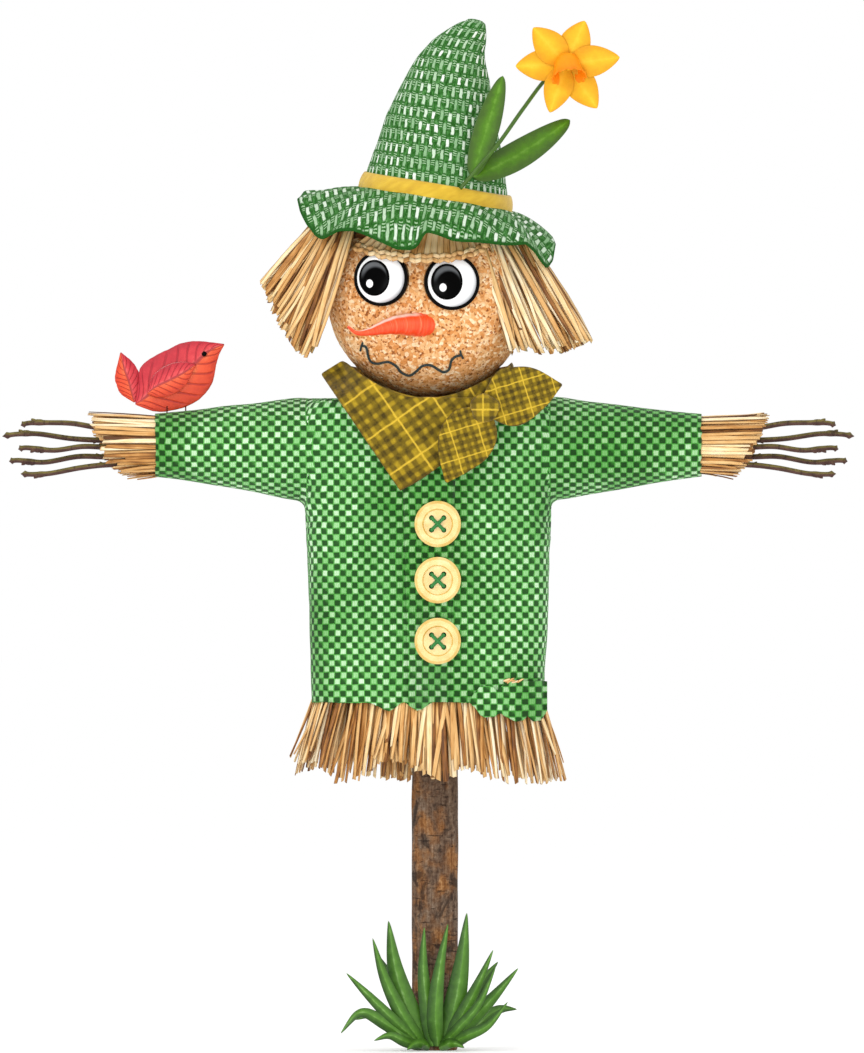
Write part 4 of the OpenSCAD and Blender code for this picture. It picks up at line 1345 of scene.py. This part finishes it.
# The brim's front edge from left to right: distance from its middle, and height above the ground
BRIM_FRONT = [(-97, 638), (-95, 628.5), (-89, 617), (-83, 609.5), (-78, 606.8), (-72, 609.5),
              (-66, 613), (-55, 612.8), (-46, 610), (-35, 604.7), (-22, 598.5), (-12.5, 598),
              (-7, 600.5), (-3, 608.5), (0, 612), (6, 610.7), (19, 605.6), (35, 604.4), (61, 602),
              (75, 603.5), (82, 597), (87.5, 589), (91, 585.5), (95, 592), (97, 603)]
BRIM_BACK = [(-97, 637), (-92, 644), (-53, 642), (0, 630), (40, 622), (60, 624), (73, 620),
             (87, 613.4), (95, 608.7), (97, 603)]
BRIM_MIDDLE = -6.5
BRIM_HALF = 97.0
BRIM_DEPTH = 93.0


def make_crown():
    batch = Batch()
    around = 120
    rows, uvs = [], []
    stations = bend(CROWN, 70)
    travelled = 0.0
    for i, (w, half, shift) in enumerate(stations):
        if i:
            travelled += (stations[i] - stations[i - 1]).xy.length
        row, uv_row = [], []
        for k in range(around + 1):
            angle = TAU * k / around + math.pi / 2
            out = spoke(angle)
            local = Vector((shift + half * out.x, half * 0.97 * out.y, w))
            rumple = 0.9 * ripple(local, 24, 3) + 0.4 * ripple(local, 9, 4)
            rumple += 0.8 * math.sin(w / 6.5 + 2 * out.x) * max(0, (w - 60) / 70)
            local += out * rumple * (0.35 if w < 8 else 1)
            row.append(hat_matrix @ local)
            uv_row.append(((angle - 1.5 * math.pi) * (half + 2), travelled))
        rows.append(row)
        uvs.append(uv_row)
    last_w, last_half, last_shift = stations[-1]
    for part, rise in ((0.72, 1.4), (0.4, 2.0), (0.02, 2.2)):
        row, uv_row = [], []
        for k in range(around + 1):
            angle = TAU * k / around + math.pi / 2
            row.append(hat_matrix @ Vector((last_shift + last_half * part * math.cos(angle),
                                            last_half * part * math.sin(angle), last_w + rise)))
            uv_row.append(((angle - 1.5 * math.pi) * last_half * part, travelled + 8 * (1 - part)))
        rows.append(row)
        uvs.append(uv_row)
    batch.grid(rows, uvs, 0.0)
    piece = batch.piece("hat_crown_cloth", weave, "hat", "hat_weave", ["hat_crown"])
    thicken(piece, 2.2, -1, levels=0)


def make_brim():
    around, across = 240, 16

    def place(i, k):
        angle = TAU * k / around + math.pi / 2
        c, s = math.cos(angle), math.sin(angle)
        t = i / across
        inner = hat_matrix @ Vector((55.5 * c, 55.5 * 0.97 * s, -6.4))
        height = table(BRIM_HALF * c, BRIM_FRONT if s < 0 else BRIM_BACK)
        outer = Vector((BRIM_MIDDLE + BRIM_HALF * c, BRIM_DEPTH * s * (1 if s < 0 else 0.98), height))
        point = inner.lerp(outer, t)
        point.z = inner.z + (outer.z - inner.z) * (t ** 1.45)
        swell = 1.6 * math.sin(k * TAU / around * 9 + 1.0) * math.sin(math.pi * t)
        point.z += swell + 0.8 * ripple(point, 14, 5) * t
        spread = 57.5 + t * (outer - inner).length
        return point, (spread * c, spread * s * 0.55)

    batch = Batch()
    tones = [[i / across] * (around + 1) for i in range(across + 1)]
    batch.grid(*surface(across, around, place), tones)
    piece = batch.piece("hat_brim_cloth", weave, "hat", "hat_weave", ["hat_brim"])
    thicken(piece, 2.4)


def make_band():
    around = 120
    loop = [(-7.0, 0.0), (-7.4, 0.9), (-6.6, 1.7), (-3, 2.3), (0, 2.45), (3, 2.2), (5.6, 1.5),
            (6.2, 0.7), (5.6, 0.0)]
    crown_halves = [(height, half) for height, half, _ in CROWN]

    def place(i, k):
        w, off = loop[i]
        angle = TAU * k / around + math.pi / 2
        out = spoke(angle)
        sag = -1.6 * max(0, -out.y) ** 2 + 0.5 * math.sin(3 * angle)
        height = w + sag
        base = table(height, crown_halves) + 0.9
        local = Vector((out.x, out.y * 0.97, 0)) * (base + off) + Vector((0, 0, height))
        return hat_matrix @ local, (angle * base, w)

    batch = Batch()
    tones = [[abs(w) / 7.0] * (around + 1) for w, _ in loop]
    batch.grid(*surface(len(loop) - 1, around, place), tones)
    batch.piece("hat_ribbon", ribbon, "hat", "yellow_ribbon", ["hat_band"])


# ---- the daffodil ----

def leaf_rows(matrix, length, width, fold, curl, shape, steps, twist=0.0):
    """A leaf that starts at the frame's origin and runs along its +X, in its XY plane."""
    across = 8

    def place(i, j):
        v, u = i / steps, (j - across) / across
        profile = math.sin(math.pi * v ** 0.85) ** shape if 0 < v < 1 else 0.0
        half = width / 2 * profile
        z = fold * abs(u) * half + curl * math.sin(math.pi * v) + twist * u * half * v
        return matrix @ Vector((v * length, u * half, z)), (u, v)

    return surface(steps, 2 * across, place)


def xz_frame(at, degrees, tilt=0.0):
    """A frame at a point whose X runs at an angle in the XZ plane, and whose Z faces -Y."""
    return (Matrix.Translation(at) @ Matrix.Rotation(math.radians(90), 4, "X")
            @ Matrix.Rotation(math.radians(degrees), 4, "Z")
            @ Matrix.Rotation(math.radians(tilt), 4, "Y"))


def make_daffodil():
    corona_low, corona_high = box_mm("flower_corona")
    centre = Vector(((corona_low.x + corona_high.x) / 2 - 1.5, box_mm("petals")[1].y - 1,
                     (corona_low.z + corona_high.z) / 2 + 2.2))
    make_flower_stem(centre)
    make_petals(centre)
    make_cup(centre)
    make_flower_leaves()


def make_flower_stem(centre):
    batch = Batch()
    path = bend([(18.75, -54.5, 645), (31.7, -55.3, 660.3), (47.2, -52.5, 678.4), (66, -45, 705),
                 (82.5, box_mm("flower_stem")[1].y - 16, 727),
                 (centre.x - 4, centre.y + 9, centre.z - 4), centre + Vector((0, 1, 0))], 60)
    radii = [1.5 + 0.9 * math.exp(-((i - 54) / 5) ** 2) for i in range(61)]
    add_tube(batch, path, radii, sides=12)
    batch.piece("daffodil_stem", flower_green, "daffodil", "flower_green", ["flower_stem"])


def make_petals(centre):
    """Six petals, each with its turn in degrees, its length and its width."""
    petals = Batch()
    turns = [(7.2, 41.2, 24), (66.6, 36, 24), (132, 37.4, 24), (182.2, 38.4, 24), (251.5, 38.8, 22),
             (305.2, 41, 24)]
    for index, (turn, length, width) in enumerate(turns):
        lift = 0.6 if index % 2 else -0.9
        matrix = xz_frame(centre + Vector((0, lift, 0)), turn, -7)
        rows, uvs = leaf_rows(matrix, length, width, 0.10, 1.5, 0.78, 22, 0.08 * (-1) ** index)
        petals.grid(rows, uvs, 0.5)
    piece = petals.piece("daffodil_petals", petal_yellow, "daffodil", "petal_yellow", ["petals"])
    thicken(piece, 0.8)


def make_cup(centre):
    """The corona, which hangs forwards and down from the petals' middle, and the stamens in it."""
    cup_axis = Vector((0.12, -0.48, -0.87))
    matrix = (Matrix.Translation(centre + Vector((0, -4, 5.5)))
              @ cup_axis.to_track_quat("Z", "Y").to_matrix().to_4x4())
    profile = [(2.0, -1.0), (6.5, -0.4), (8.6, 2.5), (9.6, 7), (10.4, 11), (11.2, 14.5), (12.6, 17),
               (13.4, 17.8)]

    def place(i, k):
        radius, height = profile[i]
        angle = TAU * k / 96
        ruffle = (i / 7) ** 3 * (0.9 * math.sin(12 * angle) + 0.5 * math.sin(19 * angle + 1))
        local = Vector(((radius + 0.5 * ruffle) * math.cos(angle),
                        (radius + 0.5 * ruffle) * math.sin(angle), height + ruffle))
        return matrix @ local, (i / 7 * 0.95, k / 96)

    cup = Batch()
    cup.grid(*surface(len(profile) - 1, 96, place), 0.5)
    piece = cup.piece("daffodil_corona", corona_orange, "daffodil", "corona_orange", ["flower_corona"])
    thicken(piece, 0.9, -1)

    threads = Batch()
    for k in range(7):
        angle = TAU * k / 6
        reach, tall = (0.0, 11.0) if k == 6 else (3.4, 9.0)
        foot = Vector((reach * math.cos(angle), reach * math.sin(angle), 0.6))
        path = [matrix @ foot, matrix @ (foot * 1.1 + Vector((0, 0, tall * 0.6))),
                matrix @ (foot * 1.25 + Vector((0, 0, tall - 1))),
                matrix @ (foot * 1.25 + Vector((0, 0, tall)))]
        add_tube(threads, path, [0.5, 0.5, 1.1, 0.6], Vector((0, 0, 1)), sides=8)
    threads.piece("daffodil_stamens", petal_yellow, "daffodil", "petal_yellow", ["stamens"])


def make_flower_leaves():
    for node, foot_x, turn, length, width, curl, bulge, bow in (
            ("flower_leaf_upper", 27.4, 73, 80.6, 19, 2.5, 0.55, 0.0),
            ("flower_leaf_lower", 27.9, 30.8, 86, 22, -3.0, 0.5, -3.0)):
        low, high = box_mm(node)
        # A leaf lies along the crown, which slopes back and to the right as it rises.
        foot = Vector((foot_x, low.y + 2, 653.2))
        back = (high.y - low.y - 4) / (length * abs(math.sin(math.radians(turn))))
        rows, uvs = leaf_rows(xz_frame(foot, turn), length, width, 0.06, curl, bulge, 26)
        for row, uv_row in zip(rows, uvs):
            down = bow * math.sin(math.pi * uv_row[0][1])
            for j, point in enumerate(row):
                row[j] = point + Vector((0, (point - foot).z * back, down))
        leaf = Batch()
        leaf.grid(rows, uvs, 0.5)
        piece = leaf.piece(node.replace("flower", "daffodil"), flower_green, "daffodil",
                           "flower_green", [node])
        thicken(piece, 1.0)


# ---- scarf ----

def sheet_piece(name, rows, uvs, tones, node, thickness):
    batch = Batch()
    batch.grid(rows, uvs, tones)
    piece = batch.piece(name, plaid, "figure", "plaid_cloth", [node])
    thicken(piece, thickness)


def turned(x, z, degrees):
    """Cloth coordinates for a plaid whose lines run at an angle."""
    a = math.radians(degrees)
    return (x * math.cos(a) + z * math.sin(a), -x * math.sin(a) + z * math.cos(a))


def make_scarf():
    front = coat_low.y
    make_panel(front)
    make_collar()
    lobe("scarf_tail_upper", "scarf_upper_tail", [(34, 479), (52, 468.5), (66, 469), (82.7, 482), (95, 498)],
         [(34, 485), (46, 508), (60, 512), (75, 510.5), (95, 499)], front - 7.5)
    lobe("scarf_tail_lower", "scarf_lower_tail", [(30, 482), (14.6, 479), (3.8, 465), (2.6, 447), (7.5, 426)],
         [(43, 475), (46.5, 460), (41, 446), (29, 436), (8.5, 425)], front - 10.5)
    make_knot()


def make_panel(front):
    """The panel over the chest and the left shoulder; it comes to a point low in the middle."""
    top_edge = [(-85.8, 507), (-69, 517.5), (-55, 506), (-40, 497), (-20, 489.5), (44, 489)]
    low_left, low_right = Vector((-26, 419)), Vector((4, 438))
    down, across = 30, 48

    def place(i, j):
        t, s = i / down, j / across
        top_x = -85.8 + 129.8 * s
        top = Vector((top_x, table(top_x, top_edge)))
        bottom = low_left.lerp(low_right, s)
        bottom.y -= 1.2 * math.sin(math.pi * s)
        x, z = top.lerp(bottom, t)
        off = x - figure_x
        wave = 1.2 * math.sin((x + z) / 13) * math.sin(math.pi * t)
        chest = front - 2.6 - 1.8 * math.sin(math.pi * min(1, t * 1.2)) - wave
        collar_side = -max(20.0, math.sqrt(max(0.0, 66 ** 2 - off ** 2)))
        lap = min(1.0, max(0.0, (z - 486) / 22))
        lap *= lap * (3 - 2 * lap)
        point = Vector((x, chest + (max(collar_side, chest) - chest) * lap, z))
        return point, [PANEL_PLAID * value for value in turned(x, z, 35)]

    tones = [[max(abs(2 * (j / across) - 1), i / down) for j in range(across + 1)]
             for i in range(down + 1)]
    rows, uvs = surface(down, across, place)
    sheet_piece("scarf_panel", rows, uvs, tones, "scarf_drape", 2.2)


def make_collar():
    """The same cloth, folded and stood up round the neck, under the head's edge."""
    around, section = 120, 18

    def place(k, j):
        turn = TAU * k / section
        angle = TAU * j / around
        sideways, forwards = math.sin(angle), math.cos(angle)
        facing = max(0.0, forwards)
        radius = 63 - 11.5 * facing ** 2 + 0.5 * math.sin(7 * angle)
        top = head.z - math.sqrt(head_r ** 2 - (58 * sideways) ** 2) - 0.8
        if forwards < 0:
            top = 514 - 6 * forwards ** 2
        foot = 487.5 - 9 * facing ** 3
        lift, tall = (top + foot) / 2, (top - foot) / 2
        reach = radius + 2.4 * math.cos(turn)
        point = Vector((figure_x + sideways * reach, -forwards * reach, lift + tall * math.sin(turn)))
        cloth = turned(radius * angle, tall * math.sin(turn) + 3 * math.cos(turn), 35)
        return point, [PANEL_PLAID * value for value in cloth]

    rows, uvs = surface(section, around, place)
    collar = Batch()
    collar.grid(rows, uvs, 0.3)
    piece = collar.piece("scarf_roll", plaid, "figure", "plaid_cloth", ["scarf_collar"])


def lobe(name, node, left, right, y):
    """A soft tail of the scarf between two edges that run from the knot to its tip."""
    edge_a = bend([(x, 0, z) for x, z in left], 26)
    edge_b = bend([(x, 0, z) for x, z in right], 26)

    def place(i, j):
        s = j / 16
        point = edge_a[i].lerp(edge_b[i], s)
        puff = math.sin(math.pi * s) * math.sin(math.pi * min(1, i / 26 + 0.08))
        gather = math.exp(-i / 7) * math.sin(s * math.pi * 5)
        point.y = y - 4.2 * puff - 1.6 * gather - 0.8 * math.sin(point.x / 6 + point.z / 9) * puff
        return point, [LOBE_PLAID * value for value in turned(point.x, point.z, 17)]

    tones = [[max(abs(2 * (j / 16) - 1), max(0, (i - 20) / 6)) for j in range(17)] for i in range(27)]
    rows, uvs = surface(26, 16, place)
    sheet_piece(name, rows, uvs, tones, node, 2.0)


def make_knot():
    middle_at = middle("scarf_knot")
    radius = 10.8

    def place(i, k):
        polar = math.pi * i / 18
        angle = TAU * k / 48
        squeeze = 1 + 0.05 * math.sin(3 * angle + 1) + 0.04 * math.sin(5 * angle)
        x = radius * math.sin(polar) * math.cos(angle) * squeeze
        z = radius * math.sin(polar) * math.sin(angle) * squeeze
        y = -6.5 * math.cos(polar)
        y += 0.7 * math.sin(x / 2.4) * math.sin(polar)
        return Vector((middle_at.x + x, middle_at.y - 2.5 + y, middle_at.z + z)), (x + 1.2, z + 1.2)

    batch = Batch()
    batch.grid(*surface(18, 48, place), 0.3)
    piece = batch.piece("scarf_knot_cloth", plaid, "figure", "plaid_cloth", ["scarf_knot"])


def make_patch():
    """A patch of the check sewn over the hem, with a ragged lower edge and a wisp of straw."""
    lower = [(26, 261), (30, 257), (34, 251.5), (37, 249.6), (44, 250.3), (49, 253.5), (54, 249.6),
             (61, 246.6), (66, 248), (69, 251), (73.5, 247), (78, 247), (82.7, 252.7), (84.3, 256)]
    upper = [(26, 263), (30, 269), (34.5, 274), (43, 273.3), (46, 270), (49, 272.5), (55, 277), (84.3, 277)]

    def place(i, j):
        t = i / 16
        x = 26 + 58 * j / 80
        bottom = table(x, lower) + 0.6 * ripple((x, 0, 0), 3, 3)
        top = table(x, upper) + 0.6 * ripple((x, 9, 0), 5, 4)
        z = bottom + (top - bottom) * t
        part = min(1.0, abs((x - figure_x) / (plan_half(z) + 0.4)))
        depth = COAT_HALF_DEPTH * (1 - part ** CORNER_POWER) ** (1 / CORNER_POWER)
        y = -max(depth, 27.0) - 2.0 - 0.8 * math.sin(j / 80 * 14) * (1 - t)
        return Vector((x, y, z)), (x - figure_x + 2.0, z + 1.5)

    rows, uvs = surface(16, 80, place)
    batch = Batch()
    batch.grid(rows, uvs, 0.5)
    piece = batch.piece("hem_patch_cloth", check, "figure", "patch_cloth", ["hem_patch"])
    thicken(piece, 1.2, levels=0)
    wisp = Batch()
    rng = random.Random(5)
    for k in range(7):
        x = 53 + 1.7 * k + rng.uniform(-0.6, 0.6)
        y = -51.5 - rng.uniform(0, 1.2)
        add_stalk(wisp, rng, (x - 2, y, 276.5 + rng.uniform(-1, 1)), (x + rng.uniform(1, 3), y - 0.6,
                  278 + rng.uniform(-1.5, 1.5)), 1.4, Vector((0, -1, 0)), pick_tone_and_shade(rng))
    wisp.piece("hem_wisp", straw, "figure", "straw")


# ---- grass ----

def make_grass():
    """Blades as (root, two points on the way, tip, width), in X, Y and Z from the stake's foot."""
    blades = [
        [(-12, -20, 2), (-38, -34, 21), (-56, -40, 29), (-71, -44, 13), 9.5],
        [(-10, -18, 4), (-30, -32, 22), (-50, -40, 42), (-67, -46, 59.5), 9],
        [(-9, -18, 4), (-24, -30, 26), (-38, -36, 55), (-47, -40, 86), 11],
        [(-8, -18, 4), (-20, -22, 30), (-30, -25, 62), (-35, -27, 99), 17],
        [(-2, -19, 3), (-6, -24, 30), (-9, -26, 62), (-8, -27, 94), 11],
        [(2, -19, 3), (0, -28, 28), (3, -31, 60), (10, -33, 97), 12],
        [(5, -18, 4), (14, -24, 32), (20, -27, 66), (24, -28, 105), 16],
        [(6, -18, 4), (20, -26, 27), (32, -31, 50), (44, -35, 77), 10],
        [(4, -19, 3), (18, -31, 18), (33, -38, 36), (46, -43, 65), 8],
        [(8, -17, 4), (28, -24, 24), (45, -29, 42), (63, -34, 63), 11],
        [(6, -18, 3), (24, -34, 12), (40, -42, 20), (55, -48, 38), 8.5],
        [(-8, -19, 3), (-22, -33, 7), (-34, -40, 12), (-46, -44, 8), 8],
        [(-4, -20, 2), (-10, -36, 6), (-16, -44, 5), (-21, -50, 1.5), 8],
        [(3, -20, 2), (10, -35, 6), (16, -44, 6), (22, -50, 3), 8],
        [(-10, 14, 3), (-26, 24, 30), (-36, 30, 55), (-46, 36, 74), 13],
        [(0, 18, 3), (-2, 28, 32), (0, 33, 60), (6, 38, 88), 14],
        [(10, 14, 3), (24, 24, 28), (34, 31, 48), (48, 38, 66), 12],
        [(14, 6, 3), (34, 12, 20), (48, 16, 30), (62, 20, 30), 10],
        [(-14, 6, 3), (-34, 14, 18), (-48, 20, 26), (-60, 24, 22), 10],
        [(-4, 18, 3), (-10, 34, 16), (-14, 46, 22), (-18, 56, 18), 9],
        [(6, 18, 3), (14, 34, 14), (20, 46, 18), (27, 55, 14), 9],
    ]
    batch = Batch()
    for a, b, c, d, width in blades:
        path = bend([a, b, c, d], 22)
        lean = Vector(d) - Vector(a)
        facing = Vector((lean.normalized().x * 0.3, -1 if a[1] < 0 else 1, 0.2)).normalized()
        frames = frames_along(path, facing)

        def place(i, j):
            point, side, up = frames[i]
            v, u = i / 22, (j - 4) / 4
            half = 0.52 * width * (math.sin(math.pi * (v ** 0.7 * 0.86 + 0.14)) ** 0.8 if v < 1 else 0.0)
            return point + side * (u * half) + up * (-abs(u) * half * 0.3), (u, v)

        batch.grid(*surface(22, 8, place), 0.5)
    piece = batch.piece("grass_blades", grass, "figure", "grass", ["grass_tuft"])
    thicken(piece, 0.9)


# ---- the leaf bird ----

def outline_leaf(edge_a, edge_b, y, puff):
    """A leaf between two outlines from its foot to its tip, with saw teeth and a raised middle."""
    teeth, steps, across = 26, 44, 10
    side_a = bend([(x, 0, z) for x, z in edge_a], steps)
    side_b = bend([(x, 0, z) for x, z in edge_b], steps)

    def place(i, j):
        v, u = i / steps, (j - across) / across
        width = (side_b[i] - side_a[i]).length
        tooth = 0.5 * (((v * teeth) % 1) - 0.5) / max(width, 1.0) if 0.08 < v < 0.94 else 0.0
        point = side_a[i].lerp(side_b[i], 0.5 + (0.5 + tooth) * u)
        point.y = y - puff * math.sin(math.pi * v) * (1 - u * u) + 0.10 * abs(u) * width * 0.5
        return point, (u, v)

    return surface(steps, 2 * across, place)


def make_bird():
    """Three dried leaves, folded and pinned together on two wire legs."""
    body_a = [(-225, 484), (-211, 479), (-200, 479), (-185, 483), (-173.6, 490.6), (-166.7, 501),
              (-164.4, 512), (-162, 521), (-158, 529)]
    body_b = [(-225, 484), (-222.5, 500), (-221, 512), (-211.4, 520), (-200, 525.7), (-190.8, 530),
              (-180.5, 531.7), (-170, 531), (-158, 529.4)]
    wing_a = [(-216, 492), (-207, 489.5), (-195, 492), (-186, 500), (-179.5, 513.6)]
    wing_b = [(-216, 492), (-211.5, 505), (-202, 513), (-190, 516), (-179.5, 514.2)]
    tail_a = [(-225.5, 485.5), (-235.6, 492), (-239, 499), (-240, 506), (-236, 523)]
    tail_b = [(-225.5, 485.5), (-219.5, 494), (-220.5, 504), (-226, 515), (-235.6, 523.4)]
    parts = [("bird_body_leaf", "bird_body", body_a, body_b, -0.5, 2.6),
             ("bird_wing_leaf", "bird_wing", wing_a, wing_b, -5.4, 1.4),
             ("bird_tail_leaf", "bird_tail", tail_a, tail_b, 2.6, 1.2)]
    for name, node, edge_a, edge_b, y, puff in parts:
        rows, uvs = outline_leaf(edge_a, edge_b, y, puff)
        batch = Batch()
        # Painted highlight: the wing's upper edge gets the pale line.
        painted_highlight_tone = 1.0 if node == "bird_wing" else 0.5
        tones = [[0.5] * (len(row) - 1) + [painted_highlight_tone] for row in rows]
        batch.grid(rows, uvs, tones)
        piece = batch.piece(name, red_leaf, "bird", "red_leaf", [node])
        thicken(piece, 1.0)
    legs = Batch()
    low, high = box_mm("bird_legs")
    for x in (low.x + 0.6, high.x - 0.6):
        add_tube(legs, [Vector((x, 0, z)) for z in (low.z, 474, 479, 483)], [0.5] * 4, sides=8)
        for toe in (-3.4, 0.4, 3.6):
            ground = 474.5 + (1.2 if x < -195 else 2.6)
            add_tube(legs, [Vector((x, 0, ground + 2)), Vector((x + toe * 0.6, -3, ground + 1.0)),
                            Vector((x + toe, -6, ground - 1))], [0.5, 0.5, 0.3], sides=6)
    legs.piece("bird_wire_legs", wire, "bird", "dark_wire", ["bird_legs"])
    bead = Batch()
    place = middle("bird_eye")
    matrix = Matrix.Translation((place.x, place.y - 1.5, place.z)) @ Matrix.Rotation(math.pi / 2, 4, "X")
    add_lathe(bead, matrix,
              [*dome(1.9, 1.4, 0.2, 8), (1.9, -1.0), (0, -1.0)], around=24)
    bead.piece("bird_eye_bead", black, "bird", "black_plastic", ["bird_eye"])


# ---- CAD nodes that stay, with a better finish ----

def dress(nodes, material):
    for node in nodes:
        piece = frame["nodes"][node]
        for slot in piece.material_slots:
            slot.material = material


dress(["neck_dowel", "cross_arm"], plain_wood)
dress(["arm_screw"], steel)
dress(["top_button", "middle_button", "bottom_button"], button_yellow)
dress(["button_threads"], green_thread)

make_stake()
make_coat()
make_patch()
make_skirt()
make_cuff(-1, "left_cuff_stalks", "left_straw_cuff")
make_cuff(1, "right_cuff_stalks", "right_straw_cuff")
make_twigs()
make_scarf()
make_head()
make_eyes()
make_nose()
make_mouth()
make_hair()
make_fringe()
make_crown()
make_brim()
make_band()
make_daffodil()
make_grass()
make_bird()
